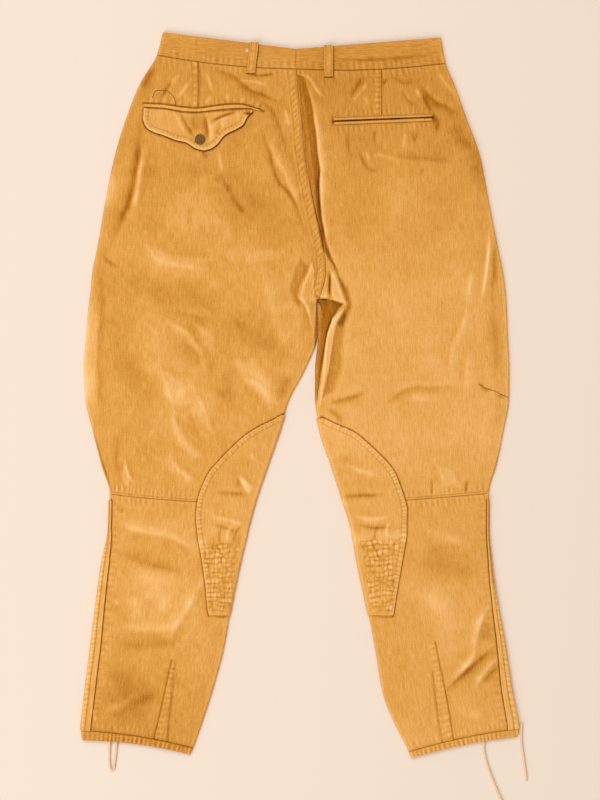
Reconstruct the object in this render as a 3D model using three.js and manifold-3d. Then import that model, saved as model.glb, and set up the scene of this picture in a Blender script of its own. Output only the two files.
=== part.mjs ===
// Jodhpurs laid flat, back side up. Millimetres, +X to the wearer's right, +Y to the waist, +Z up.
// Each half of the garment is one flattened tube. A row of stations gives its two side folds, and
// every panel is a closed wall cut out of that tube's skin.

import * as THREE from "three";
import { mergeVertices } from "three/addons/utils/BufferGeometryUtils.js";
import Module from "manifold-3d";

// ---- driving dimensions

const PANEL_CLOTH = 1.2; // twill of the legs and seat
const BAND_CLOTH = 1.8; // doubled waistband
const HEM_CLOTH = 1.3; // doubled hem band
const PATCH_CLOTH = 1.2; // knee patch
const FLAP_CLOTH = 1.7; // doubled pocket flap
const WELT_CLOTH = 1.1;
const LOOP_CLOTH = 1.7;
const SEAM_GAP = 0.3; // air left between neighbouring pieces
const EDGE_HALF = 2.9; // half the height of the flattened tube at a side fold
const EDGE_REACH = 26; // how far in from a side fold the cloth gains its loft
const FOLD_REACH = 9; // how far in from a side fold a crease fades out
const BELT_LOOP_WIDTH = 13;
const BELT_LOOP_RISE = 1.9;
const BUTTON_RADIUS = 7.7;
const BUTTON_HEIGHT = 2.8;
const LACE_DIAMETER = 3.4;
const QUILT_RELIEF = 0.6;
const FLOOR_CLEARANCE = 0.02; // laces lie this far above the surface

// ---- stations, one for each row across the garment, from the waist to the hem
// lox, loy: outer side fold of the left half; lix, liy: its inner end
// rox, roy: outer side fold of the right half; rix, riy: its inner end
// bowL, bowR: how far the middle of the row sits above its ends
// loft: fullness over the folded edge; fork: 0 on the seat, 1 on a leg; nose: inner fold's half width

const stations = [
  { at: "bandTop", lox: -191.5, loy: 507, lix: -5.5, liy: 483.5, rox: 197, roy: 499.5,
    rix: -5.5, riy: 483.5, bowL: 0, bowR: 0, loft: 0.2, fork: 0, nose: 0 },
  { at: "waistSeam", lox: -200, loy: 475, lix: -4.5, liy: 455.5, rox: 204, roy: 463.5,
    rix: -4.5, riy: 455.5, bowL: -4.5, bowR: -5, loft: 0.4, fork: 0, nose: 0 },
  { at: "hip", lox: -223, loy: 436, lix: -2, liy: 424.5, rox: 216.5, roy: 433,
    rix: -2, riy: 424.5, bowL: -3, bowR: -3, loft: 1, fork: 0, nose: 0 },
  { at: "pocket", lox: -242.5, loy: 388, lix: 2.5, liy: 388, rox: 232, roy: 389.5,
    rix: 2.5, riy: 388, bowL: 0, bowR: 0, loft: 1.3, fork: 0, nose: 0 },
  { at: "seat", lox: -259.5, loy: 332, lix: 7, liy: 336.5, rox: 252, roy: 333.5,
    rix: 7, riy: 336.5, bowL: 0, bowR: 0, loft: 1.6, fork: 0, nose: 0 },
  { at: "seatLow", lox: -271.5, loy: 273.5, lix: 18.5, liy: 273.5, rox: 263.5, roy: 273.5,
    rix: 18.5, riy: 273.5, bowL: 0, bowR: 0, loft: 1.8, fork: 0, nose: 0 },
  { at: "rise", lox: -282.5, loy: 210.5, lix: 33, liy: 210.5, rox: 276, roy: 210.5,
    rix: 33, riy: 210.5, bowL: 0, bowR: 0, loft: 1.8, fork: 0, nose: 0 },
  { at: "riseLow", lox: -290.5, loy: 170, lix: 36.5, liy: 171, rox: 284, roy: 170,
    rix: 36.5, riy: 171, bowL: 0, bowR: 0, loft: 1.8, fork: 0, nose: 0 },
  { at: "crotch", lox: -293, loy: 142, lix: 28, liy: 137, rox: 287.5, roy: 142,
    rix: 28, riy: 137, bowL: 0, bowR: 0, loft: 1.8, fork: 0, nose: 0 },
  { at: "split", lox: -295, loy: 129, lix: 23.5, liy: 125, rox: 288.5, roy: 129,
    rix: 24, riy: 125, bowL: 0, bowR: 0, loft: 1.8, fork: 1, nose: 2.2 },
  { at: "fork", lox: -298.5, loy: 91.5, lix: 24.5, liy: 84.5, rox: 290, roy: 91.5,
    rix: 25.5, riy: 84.5, bowL: 0, bowR: 0, loft: 1.6, fork: 1, nose: 2.8 },
  { at: "thigh", lox: -302, loy: 38, lix: 6, liy: 34, rox: 292.5, roy: 35.5,
    rix: 21, riy: 34, bowL: 0, bowR: 0, loft: 1.5, fork: 1, nose: 2.8 },
  { at: "thighLow", lox: -300, loy: -4, lix: -15, liy: -6, rox: 292, roy: -6.5,
    rix: 21, riy: -6, bowL: 0, bowR: 0, loft: 1.4, fork: 1, nose: 2.8 },
  { at: "kneeTop", lox: -289.5, loy: -50, lix: -30, liy: -53, rox: 284.5, roy: -48.5,
    rix: 29, riy: -51.5, bowL: 0, bowR: 0, loft: 1.2, fork: 1, nose: 2.8 },
  { at: "kneeMid", lox: -277.5, loy: -97.5, lix: -45.5, liy: -97.5, rox: 275, roy: -96,
    rix: 44.5, riy: -97.5, bowL: 0, bowR: 0, loft: 1, fork: 1, nose: 2.8 },
  { at: "knee", lox: -266, loy: -138, lix: -63.5, liy: -151, rox: 264, roy: -137,
    rix: 62, riy: -152, bowL: -3, bowR: -1, loft: 0.8, fork: 1, nose: 2.8 },
  { at: "calfTop", lox: -267, loy: -186, lix: -72.5, liy: -184.5, rox: 263.5, roy: -186,
    rix: 72, riy: -184.5, bowL: 0, bowR: 0, loft: 1.2, fork: 1, nose: 2.8 },
  { at: "calf1", lox: -276.5, loy: -233.5, lix: -84, liy: -233.5, rox: 267.5, roy: -233.5,
    rix: 80.5, riy: -233.5, bowL: 0, bowR: 0, loft: 1.4, fork: 1, nose: 2.8 },
  { at: "calf2", lox: -284.5, loy: -289.5, lix: -95.5, liy: -289.5, rox: 275.5, roy: -289.5,
    rix: 92.5, riy: -289.5, bowL: 0, bowR: 0, loft: 1.4, fork: 1, nose: 2.8 },
  { at: "calf3", lox: -292, loy: -349.5, lix: -105.5, liy: -349.5, rox: 286.5, roy: -349.5,
    rix: 104, riy: -349.5, bowL: 0, bowR: 0, loft: 1.4, fork: 1, nose: 2.8 },
  { at: "calf4", lox: -300, loy: -412.5, lix: -123, liy: -415.5, rox: 295.5, roy: -408.5,
    rix: 117, riy: -421, bowL: 0, bowR: 0, loft: 1.2, fork: 1, nose: 2.8 },
  { at: "hemSeam", lox: -306, loy: -468, lix: -149, liy: -492.5, rox: 306, roy: -465.5,
    rix: 152, riy: -498, bowL: 4.5, bowR: 4, loft: 1, fork: 1, nose: 2.8 },
  { at: "hemEnd", lox: -304.5, loy: -482, lix: -153, liy: -502, rox: 304.5, roy: -477,
    rix: 155.5, riy: -507, bowL: 5, bowR: 4, loft: 1, fork: 1, nose: 2.8 },
];

// ---- creases: centre line, width and height; a negative height is a trough

const folds = [
  { fold: "seat valley", width: 5, height: -2.6,
    along: [[5, 436], [13.5, 371.5], [27.5, 280.5], [38, 203.5]] },
  { fold: "seat ridge", width: 6, height: 2.8,
    along: [[13.5, 441.5], [23.5, 374], [35, 294.5], [43.5, 210.5]] },
  { fold: "felled seat seam", width: 5, height: 0.8,
    along: [[-12.5, 447], [-4, 371.5], [10, 287.5], [25.5, 203.5]] },
  { fold: "left crotch ridge", width: 6, height: 3.2, along: [[19, 186.5], [8.5, 158.5], [0, 142]] },
  { fold: "left crotch lip", width: 5, height: 2.4, along: [[8.5, 126.5], [14, 105.5], [16.5, 83]] },
  { fold: "left crotch trough", width: 5, height: -2, along: [[4, 184], [-2, 156]] },
  { fold: "left fork trough", width: 6, height: -1.6, along: [[-1, 119.5], [1.5, 91.5]] },
  { fold: "right pouch edge", width: 6, height: 3.6, along: [[45.5, 184], [57.5, 156], [60.5, 133.5]] },
  { fold: "right pouch", width: 9, height: 1.6, along: [[43.5, 156], [50.5, 144.5]] },
  { fold: "right pouch groove", width: 4, height: -2.2, along: [[45, 124], [57.5, 120.5]] },
  { fold: "inseam roll", width: 5, height: 3.6,
    along: [[45.5, 113.5], [43.5, 91.5], [39.5, 60.5], [36, 28.5], [29.5, -6.5]] },
  { fold: "roll trough", width: 7, height: -1.8, along: [[59, 108], [56, 70.5], [55, 27]] },
  { fold: "thigh tuck", width: 6, height: -1.8, along: [[45, -8], [80, 0.5]] },
  { fold: "seat drag trough", width: 7, height: -1.8,
    along: [[-134, 455.5], [-96.5, 447], [-72.5, 431.5], [-50, 420.5]] },
  { fold: "seat drag ridge", width: 6, height: 1.6, along: [[-75.5, 417.5], [-50, 415.5], [-28, 406.5]] },
  { fold: "left side trough", width: 8, height: -1.8,
    along: [[-222.5, 394], [-232, 301.5], [-252, 238.5], [-268.5, 198]] },
  { fold: "left side ridge", width: 8, height: 2.4,
    along: [[-243.5, 357.5], [-253, 287.5], [-268.5, 228.5]] },
  { fold: "right side crease", width: 6, height: 2, along: [[265, 234], [258, 182.5], [252, 126.5]] },
  { fold: "right side hollow", width: 8, height: -1, along: [[252, 220], [242.5, 133.5]] },
  { fold: "flap buckle left", width: 6, height: -1, along: [[-155, 394], [-145.5, 360]] },
  { fold: "flap buckle right", width: 6, height: -1, along: [[-134, 389.5], [-127, 356]] },
  { fold: "left knee crease", width: 6, height: -1.2, along: [[-117.5, -135.5], [-70, -138]] },
  { fold: "right knee crease", width: 6, height: -1.2, along: [[63, -137], [112, -138]] },
  { fold: "left knee fold", width: 7, height: 1.4, along: [[-89.5, -104.5], [-71, -135.5]] },
  { fold: "right knee fold", width: 7, height: 1, along: [[70, -110], [62, -146.5]] },
  { fold: "left calf ridge", width: 8, height: 2.4,
    along: [[-253, -167.5], [-210, -188.5], [-154, -212.5]] },
  { fold: "left calf trough", width: 9, height: -1.4,
    along: [[-254.5, -219.5], [-207, -232], [-162, -239]] },
  { fold: "left shin trough", width: 11, height: -1.4,
    along: [[-263, -342.5], [-210, -349.5], [-154, -338.5]] },
  { fold: "right calf ridge", width: 8, height: 2.4, along: [[265, -288], [249.5, -319], [242.5, -354]] },
  { fold: "right calf trough", width: 7, height: -1.4, along: [[263.5, -317.5], [260.5, -345.5]] },
  { fold: "right shin trough", width: 7, height: -2.6,
    along: [[269, -349.5], [249.5, -369], [223, -393], [209, -410]] },
  { fold: "right shin ridge", width: 7, height: 2.4, along: [[273, -370.5], [249.5, -401.5]] },
  { fold: "left calf dart", width: 5, height: 0.9, along: [[-177.5, -372], [-182, -413], [-195, -480]] },
  { fold: "right calf dart", width: 5, height: 0.9, along: [[188, -346], [197.5, -420], [206, -482]] },
  { fold: "left seat swell", width: 26, height: 1, along: [[-173.5, 322.5], [-154, 196.5]] },
  { fold: "right seat swell", width: 28, height: 1, along: [[147, 329.5], [129, 182.5]] },
  { fold: "left thigh swell", width: 24, height: 1, along: [[-210, 126.5], [-179, -6.5]] },
  { fold: "right thigh swell", width: 24, height: 1, along: [[196, 133.5], [175, 0.5]] },
  { fold: "left seat hollow", width: 20, height: -0.7, along: [[-98, 287.5], [-72.5, 147.5]] },
  { fold: "right seat hollow", width: 20, height: -0.7, along: [[73, 315.5], [87, 175.5]] },
  { fold: "left shin swell", width: 18, height: 0.8, along: [[-231, -272.5], [-224, -314.5]] },
  { fold: "right shin swell", width: 20, height: 0.8, along: [[182, -230.5], [196, -300.5]] },
];

// ---- outlines of the pieces sewn on top

const flap = [
  [-215.5, 397.5], [-217.5, 382.5], [-214, 374], [-205.5, 367.5], [-188, 361.5], [-173, 355.5],
  [-158, 352], [-148, 345.5], [-139, 342], [-133, 341.5], [-123, 344], [-114, 351],
  [-107.5, 359.5], [-100.5, 365], [-88, 371], [-79, 377], [-74, 386.5], [-70.5, 392.5], [-74, 397],
  [-114.5, 394.5], [-142.5, 392], [-163.5, 393], [-189, 397],
];
const flapWelt = [
  [-217.5, 406.5], [-189, 405], [-161, 401], [-140, 400], [-112, 404], [-84, 405.5], [-67, 401.5],
  [-53, 396.5], [-67, 395], [-74, 398.5], [-98, 397], [-114.5, 395.5], [-142.5, 393.5],
  [-163.5, 394.5], [-189, 398], [-215.5, 399],
];
const weltUpper = [
  [48, 387], [183.5, 391.5], [183.5, 388], [49, 382.5],
];
const weltLower = [
  [49, 381.5], [183.5, 387], [184, 382], [47, 376.5],
];
const patchLeft = [
  [-22, -26], [-36, -34], [-57, -44.5], [-77, -57], [-96.5, -75], [-113, -92], [-126, -107.5],
  [-134, -123], [-141, -141], [-143.5, -156.5], [-144.5, -170.5], [-142, -197], [-136.5, -228],
  [-131.5, -263], [-129, -292], [-126.5, -303.5], [-123, -307], [-98, -308], [-84, -308.5],
  [-53, -202.5], [-35, -104.5], [-8, -26],
];
const patchRight = [
  [30, -31], [51.5, -41.5], [74.5, -51.5], [89, -62.5], [107.5, -79.5], [123.5, -96], [133, -110],
  [140, -127.5], [146, -145], [149, -158.5], [148.5, -176], [148, -198.5], [143.5, -225],
  [139, -251.5], [134.5, -278], [132.5, -298], [130, -305], [126, -307], [98, -309], [84, -309],
  [62, -230.5], [42, -146.5], [13, -31],
];
const quiltLeft = [
  [-135.5, -208], [-84, -205.5], [-98.5, -303], [-126.5, -300.5],
];
const quiltRight = [
  [85.5, -202.5], [140, -200], [128.5, -300.5], [99.5, -304],
];
const loopLeft = [
  [-63.5, 492], [-68.5, 448.5],
];
const loopRight = [
  [40, 488], [40, 443.5],
];
const buttonPlace = [-139, 356];

// ---- laces, as centre lines x, y, z

const laceInside = EDGE_HALF + 0.5;
const laceDown = LACE_DIAMETER / 2 + FLOOR_CLEARANCE;

const laceLeft = [
  [-266, -470, laceInside],
  [-266, -480, laceInside],
  [-266, -489, laceInside - 0.3],
  [-266.4, -500, laceDown],
  [-266.5, -510, laceDown],
  [-266, -518, laceDown],
  [-264.8, -522.6, laceDown],
  [-262.4, -524.8, laceDown],
  [-260.2, -522.4, laceDown],
  [-259.4, -517.5, laceDown],
  [-258.2, -508, laceDown],
  [-257.2, -499, laceDown],
  [-256.5, -490, laceInside - 0.3],
  [-256.5, -481, laceInside],
  [-256.5, -472, laceInside],
];

const laceRightLong = [
  [256.5, -466, laceInside],
  [256.8, -476, laceInside],
  [257, -486, laceInside - 0.2],
  [257.5, -496, laceDown],
  [260.5, -511, laceDown],
  [264.5, -524, laceDown],
  [269.5, -537, laceDown],
  [275.5, -552, laceDown],
  [282, -566.5, laceDown],
  [287, -578, laceDown],
];

const laceRightShort = [
  [309.6, -460, laceInside],
  [309.6, -468, laceInside - 0.6],
  [309.6, -477, laceDown + 0.3],
  [310.2, -487, laceDown],
  [311.6, -498, laceDown],
  [313.5, -511, laceDown],
  [315.3, -524, laceDown],
  [317, -538.5, laceDown],
];

// ---- where the long seams lie, measured over the side fold
// 1: top of the fold, 0: outermost line, -1: bottom of the fold, then 10 mm for each further unit
// out: outseam; back, front: the inner end of the back and of the front panel

const leftSeams = [
  { at: "bandTop", out: -1.6, back: 1, front: -1 },
  { at: "crotch", out: -1.6, back: 1, front: -1 },
  { at: "split", out: -1.6, back: 0, front: 0 },
  { at: "fork", out: -1.6, back: -1.3, front: -1.3 },
  { at: "thighLow", out: -1.4, back: -1.5, front: -1.5 },
  { at: "kneeTop", out: -0.6, back: -1.5, front: -1.5 },
  { at: "kneeMid", out: 0.4, back: -1.5, front: -1.5 },
  { at: "knee", out: 1.05, back: -1.5, front: -1.5 },
  { at: "calfTop", out: 1.05, back: -1.5, front: -1.5 },
  { at: "calf1", out: 1.75, back: -1.5, front: -1.5 },
  { at: "calf2", out: 1.9, back: -1.5, front: -1.5 },
  { at: "calf3", out: 2.1, back: -1.5, front: -1.5 },
  { at: "hemEnd", out: 2.1, back: -1.5, front: -1.5 },
];

const rightSeams = [
  { at: "bandTop", out: -1.6, back: 1, front: -1 },
  { at: "crotch", out: -1.6, back: 1, front: -1 },
  { at: "split", out: -1.6, back: 1.3, front: 1.3 },
  { at: "fork", out: -1.6, back: 1.7, front: 1.7 },
  { at: "thigh", out: -1.6, back: 1.45, front: 1.45 },
  { at: "thighLow", out: -1.4, back: 1, front: 1 },
  { at: "kneeTop", out: -0.7, back: -1.2, front: -1.2 },
  { at: "kneeMid", out: 0.5, back: -1.5, front: -1.5 },
  { at: "knee", out: 0.9, back: -1.5, front: -1.5 },
  { at: "calfTop", out: 0.9, back: -1.5, front: -1.5 },
  { at: "calf1", out: 1.1, back: -1.5, front: -1.5 },
  { at: "calf2", out: 1.4, back: -1.5, front: -1.5 },
  { at: "calf3", out: 1.8, back: -1.5, front: -1.5 },
  { at: "calf4", out: 2.1, back: -1.5, front: -1.5 },
  { at: "hemEnd", out: 2.5, back: -1.5, front: -1.5 },
];

// ---- rows that the walls are cut on: how many steps from each station to the next

const rowSteps = [
  { from: "bandTop", steps: 2 },
  { from: "waistSeam", steps: 2 },
  { from: "hip", steps: 2 },
  { from: "pocket", steps: 2 },
  { from: "seat", steps: 2 },
  { from: "seatLow", steps: 2 },
  { from: "rise", steps: 2 },
  { from: "riseLow", steps: 2 },
  { from: "crotch", steps: 1 },
  { from: "split", steps: 2 },
  { from: "fork", steps: 2 },
  { from: "thigh", steps: 2 },
  { from: "thighLow", steps: 3 },
  { from: "kneeTop", steps: 3 },
  { from: "kneeMid", steps: 3 },
  { from: "knee", steps: 2 },
  { from: "calfTop", steps: 2 },
  { from: "calf1", steps: 2 },
  { from: "calf2", steps: 2 },
  { from: "calf3", steps: 2 },
  { from: "calf4", steps: 2 },
  { from: "hemSeam", steps: 1 },
];

// ---- the tube's skin

const stationIndex = {};
stations.forEach((station, index) => {
  stationIndex[station.at] = index;
});

// Smooth interpolation of one column that never overshoots its rows.
function column(name, v) {
  const last = stations.length - 1;
  const k = Math.min(Math.max(Math.floor(v), 0), last - 1);
  const t = v - k;
  const value = (i) => stations[i][name];
  const rise = (i) => value(i + 1) - value(i);
  const slope = (i) => {
    if (i <= 0 || i >= last) return rise(Math.min(i, last - 1));
    const before = rise(i - 1);
    const after = rise(i);
    return before * after <= 0 ? 0 : (2 * before * after) / (before + after);
  };
  const a = slope(k);
  const b = slope(k + 1);
  const d = rise(k);
  return value(k) + t * (a + t * (3 * d - 2 * a - b + t * (a + b - 2 * d)));
}

// Straight interpolation in a table whose rows name a station.
function seamAt(table, name, v) {
  for (let i = 1; i < table.length; i += 1) {
    const v0 = stationIndex[table[i - 1].at];
    const v1 = stationIndex[table[i].at];
    if (v <= v1 || i === table.length - 1) {
      const t = (v - v0) / (v1 - v0);
      return table[i - 1][name] * (1 - t) + table[i][name] * t;
    }
  }
  return 0;
}

function smoothStep(x) {
  const t = Math.min(Math.max(x, 0), 1);
  return t * t * (3 - 2 * t);
}

// Height of all creases together over a point of the layout.
function creaseHeight(x, y) {
  let height = 0;
  for (const fold of folds) {
    const reach = 3 * fold.width;
    let best = Infinity;
    let bestT = 0;
    const spans = fold.along.length - 1;
    for (let i = 0; i < spans; i += 1) {
      const [x0, y0] = fold.along[i];
      const [x1, y1] = fold.along[i + 1];
      const dx = x1 - x0;
      const dy = y1 - y0;
      const raw = ((x - x0) * dx + (y - y0) * dy) / (dx * dx + dy * dy);
      const t = Math.min(Math.max(raw, 0), 1);
      const away = Math.hypot(x - x0 - t * dx, y - y0 - t * dy);
      if (away < best) {
        best = away;
        bestT = (i + t) / spans;
      }
    }
    if (best < reach) {
      const taper = 0.35 + 0.65 * Math.sin(Math.PI * bestT);
      height += fold.height * taper * Math.exp(-((best / fold.width) ** 2));
    }
  }
  return height;
}

// One row of one half: its ends, its lengths and its folds.
function rowOf(side, v) {
  const key = side === "left" ? "l" : "r";
  const row = {
    side,
    v,
    xo: column(key + "ox", v),
    yo: column(key + "oy", v),
    xi: column(key + "ix", v),
    yi: column(key + "iy", v),
    bow: column(side === "left" ? "bowL" : "bowR", v),
    loft: column("loft", v),
    fork: column("fork", v),
    nose: column("nose", v),
  };
  row.width = Math.hypot(row.xi - row.xo, row.yi - row.yo);
  row.top = row.width - EDGE_HALF - row.nose;
  row.outerArc = Math.PI * EDGE_HALF;
  row.innerArc = (Math.PI * (row.nose + EDGE_HALF)) / 2;
  row.round = 2 * row.top + row.innerArc + row.outerArc;
  return row;
}

function alongRow(row, s) {
  const u = s / row.width;
  const x = row.xo + (row.xi - row.xo) * u;
  const y = row.yo + (row.yi - row.yo) * u + row.bow * 4 * u * (1 - u);
  return [x, y];
}

function topHeight(row, s) {
  const fromOuter = s - EDGE_HALF;
  const fromInner = row.width - s - row.nose;
  const rise = (reach) => {
    const inner = 1 - row.fork * (1 - smoothStep(fromInner / reach));
    return smoothStep(fromOuter / reach) * inner;
  };
  const [x, y] = alongRow(row, s);
  const z = 2 * EDGE_HALF + row.loft * rise(EDGE_REACH) + creaseHeight(x, y) * rise(FOLD_REACH);
  const floor = 2 * PANEL_CLOTH + 0.7;
  return z > floor + 1 ? z : floor + Math.exp(z - floor - 1);
}

// Point of the skin at q, the distance over the row from the top of its outer side fold.
function skinPoint(row, q) {
  let at = q;
  if (at > row.top * 2 + row.innerArc) at -= row.round;
  if (at < -row.outerArc) {
    const [x, y] = alongRow(row, EDGE_HALF - row.outerArc - at);
    return new THREE.Vector3(x, y, 0);
  }
  if (at < 0) {
    const angle = -at / EDGE_HALF;
    const [x, y] = alongRow(row, EDGE_HALF - EDGE_HALF * Math.sin(angle));
    return new THREE.Vector3(x, y, EDGE_HALF + EDGE_HALF * Math.cos(angle));
  }
  if (at <= row.top) {
    const s = EDGE_HALF + at;
    const [x, y] = alongRow(row, s);
    return new THREE.Vector3(x, y, topHeight(row, s));
  }
  if (at < row.top + row.innerArc) {
    const angle = (Math.PI * (at - row.top)) / row.innerArc;
    const [x, y] = alongRow(row, row.width - row.nose + row.nose * Math.sin(angle));
    return new THREE.Vector3(x, y, EDGE_HALF + EDGE_HALF * Math.cos(angle));
  }
  const [x, y] = alongRow(row, row.width - row.nose - (at - row.top - row.innerArc));
  return new THREE.Vector3(x, y, 0);
}

function outerSeamQ(row, turn) {
  if (turn > 1) return (turn - 1) * 10;
  if (turn < -1) return -row.outerArc + (turn + 1) * 10;
  return (-row.outerArc / 2) * (1 - turn);
}

function innerSeamQ(row, turn) {
  if (turn > 1) return row.top - (turn - 1) * 10;
  if (turn < -1) return row.top + row.innerArc - (turn + 1) * 10;
  return row.top + (row.innerArc / 2) * (1 - turn);
}

// ---- walls

// How close the columns of a wall stand: dense on a side fold, wider on the flat.
function columnDensity(row, q, { crowd = 0, edge = 6, strip = 0 }) {
  let at = q;
  if (at > row.top * 2 + row.innerArc) at -= row.round;
  if (at < 0 && at > -row.outerArc) return edge;
  if (row.nose > 0 && at > row.top && at < row.top + row.innerArc) return edge;
  if (at < 0 || at > row.top) return 1;
  const byInner = 1 - smoothStep((row.top - at) / 75);
  const byOuter = 1 - smoothStep(at / 50);
  return 1 + crowd * byInner + 0.5 * byOuter + strip;
}

function columnsOf(row, q0, q1, count, spread) {
  const samples = 240;
  const sum = [0];
  for (let i = 0; i < samples; i += 1) {
    const q = q0 + ((q1 - q0) * (i + 0.5)) / samples;
    sum.push(sum[i] + columnDensity(row, q, spread));
  }
  const list = [];
  let i = 0;
  for (let j = 0; j <= count; j += 1) {
    const target = (sum[samples] * j) / count;
    while (i < samples - 1 && sum[i + 1] < target) i += 1;
    const t = (target - sum[i]) / (sum[i + 1] - sum[i]);
    list.push(q0 + ((q1 - q0) * (i + t)) / samples);
  }
  return list;
}

// Outward direction of the skin at q, taken inside the wall's own range.
function skinNormal(side, v, q, vRange, reachOf) {
  const stepV = 0.02;
  const stepQ = 0.4;
  const v0 = Math.max(v - stepV, vRange[0]);
  const v1 = Math.min(v + stepV, vRange[1]);
  const row = rowOf(side, v);
  const [low, high] = reachOf(row);
  const part = (q - low) / (high - low);
  const across = skinPoint(row, Math.min(q + stepQ, high)).sub(skinPoint(row, Math.max(q - stepQ, low)));
  const onRow = (vAt) => {
    const other = rowOf(side, vAt);
    const [a, b] = reachOf(other);
    return skinPoint(other, a + (b - a) * part);
  };
  const down = onRow(v1).sub(onRow(v0));
  const normal = new THREE.Vector3().crossVectors(down, across);
  if (side === "right") normal.negate();
  return normal.normalize();
}

// Grid of points and outward directions over a stretch of one half's skin.
// reachOf(row) gives the first and last q of the wall on that row.
function skinGrid({ side, vList, reachOf, count, ...spread }) {
  const vRange = [vList[0], vList[vList.length - 1]];
  const grid = { side, vList, points: [], normals: [] };
  for (const v of vList) {
    const row = rowOf(side, v);
    const [q0, q1] = reachOf(row);
    const qs = columnsOf(row, q0, q1, count, spread);
    grid.points.push(qs.map((q) => skinPoint(row, q)));
    grid.normals.push(qs.map((q) => skinNormal(side, v, q, vRange, reachOf)));
  }
  return grid;
}

// Positions and triangles of the closed wall between two offsets of a grid.
function wallMesh(grid, inner, outer, flip = false) {
  const rows = grid.points.length;
  const cols = grid.points[0].length;
  const positions = [];
  const triangles = [];
  for (const offset of [outer, inner]) {
    for (let i = 0; i < rows; i += 1) {
      for (let j = 0; j < cols; j += 1) {
        const p = grid.points[i][j].clone().addScaledVector(grid.normals[i][j], offset);
        positions.push(p.x, p.y, Math.max(p.z, 0));
      }
    }
  }
  const turned = (grid.side === "right") !== flip;
  const quad = (a, b, c, d) => {
    if (turned) triangles.push(a, b, c, a, c, d);
    else triangles.push(a, c, b, a, d, c);
  };
  const under = rows * cols;
  for (let i = 0; i < rows - 1; i += 1) {
    for (let j = 0; j < cols - 1; j += 1) {
      const a = i * cols + j;
      quad(a, a + 1, a + cols + 1, a + cols);
      quad(under + a, under + a + cols, under + a + cols + 1, under + a + 1);
    }
  }
  for (let j = 0; j < cols - 1; j += 1) {
    const last = (rows - 1) * cols + j;
    quad(j + 1, j, under + j, under + j + 1);
    quad(last, last + 1, under + last + 1, under + last);
  }
  for (let i = 0; i < rows - 1; i += 1) {
    const a = i * cols;
    const b = a + cols - 1;
    quad(a, a + cols, under + a + cols, under + a);
    quad(b + cols, b, under + b, under + b + cols);
  }
  return { positions, triangles };
}

// ---- pieces and materials

const group = new THREE.Group();
group.name = "jodhpurs";

const twill = { color: 0xd99c4b, roughness: 0.9, metalness: 0 };
const pocketTwill = { color: 0xdda050, roughness: 0.9, metalness: 0 };
const buttonHorn = { color: 0x4a3524, roughness: 0.4, metalness: 0.1 };
const laceCotton = { color: 0xead6b4, roughness: 0.85, metalness: 0 };

function addMesh(name, geometry, look) {
  geometry.computeVertexNormals();
  const mesh = new THREE.Mesh(geometry, new THREE.MeshStandardMaterial(look));
  mesh.name = name;
  group.add(mesh);
}

function geometryOf({ positions, triangles }) {
  const geometry = new THREE.BufferGeometry();
  geometry.setAttribute("position", new THREE.Float32BufferAttribute(positions, 3));
  geometry.setIndex(triangles);
  return geometry;
}

// Rows from one station to another, the end rows drawn in by half a seam gap.
function rowList(from, to, trimFrom = SEAM_GAP / 2, trimTo = SEAM_GAP / 2) {
  const list = [];
  for (let k = stationIndex[from]; k < stationIndex[to]; k += 1) {
    const { steps } = rowSteps[k];
    for (let i = 0; i < steps; i += 1) list.push(k + i / steps);
  }
  list.push(stationIndex[to]);
  const spacing = (k) => {
    const a = stations[k];
    const b = stations[k + 1];
    return Math.min(Math.abs(a.loy - b.loy), Math.abs(a.liy - b.liy), Math.abs(a.riy - b.riy));
  };
  list[0] += trimFrom / spacing(stationIndex[from]);
  list[list.length - 1] -= trimTo / spacing(stationIndex[to] - 1);
  return list;
}

const halfGap = SEAM_GAP / 2 + 0.02;
const halves = [
  { side: "left", seams: leftSeams },
  { side: "right", seams: rightSeams },
];

// Half the gap beside a long seam, eased where the seam climbs over a side fold.
function seamRoom(table, name, row) {
  const turn = seamAt(table, name, row.v);
  const climb = seamAt(table, name, row.v + 0.5) - seamAt(table, name, row.v - 0.5);
  const onFold = row.fork > 0.5 && Math.abs(turn) < 1.4 ? 1 : 0;
  return halfGap + 0.42 * onFold * Math.min(Math.abs(climb), 1);
}

function backReach(seams) {
  return (row) => [
    outerSeamQ(row, seamAt(seams, "out", row.v)) + seamRoom(seams, "out", row),
    innerSeamQ(row, seamAt(seams, "back", row.v)) - seamRoom(seams, "back", row),
  ];
}

function frontReach(seams) {
  return (row) => [
    innerSeamQ(row, seamAt(seams, "front", row.v)) + seamRoom(seams, "front", row),
    row.round + outerSeamQ(row, seamAt(seams, "out", row.v)) - seamRoom(seams, "out", row),
  ];
}

function wallPiece(name, look, cloth, options) {
  const grid = skinGrid(options);
  addMesh(name, geometryOf(wallMesh(grid, -cloth, 0)), look);
  return grid;
}

// ---- waistband: a doubled strip round each half, from the seat seam to the front opening

for (const { side } of halves) {
  wallPiece("waistband_" + side, twill, BAND_CLOTH, {
    side,
    vList: rowList("bandTop", "waistSeam", 0),
    reachOf: (row) => [-row.outerArc - row.top + halfGap, row.top - halfGap],
    count: 24,
    crowd: 0.6,
  });
}

// ---- legs: back of seat and thigh, back of calf, and one front from waist to hem

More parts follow.
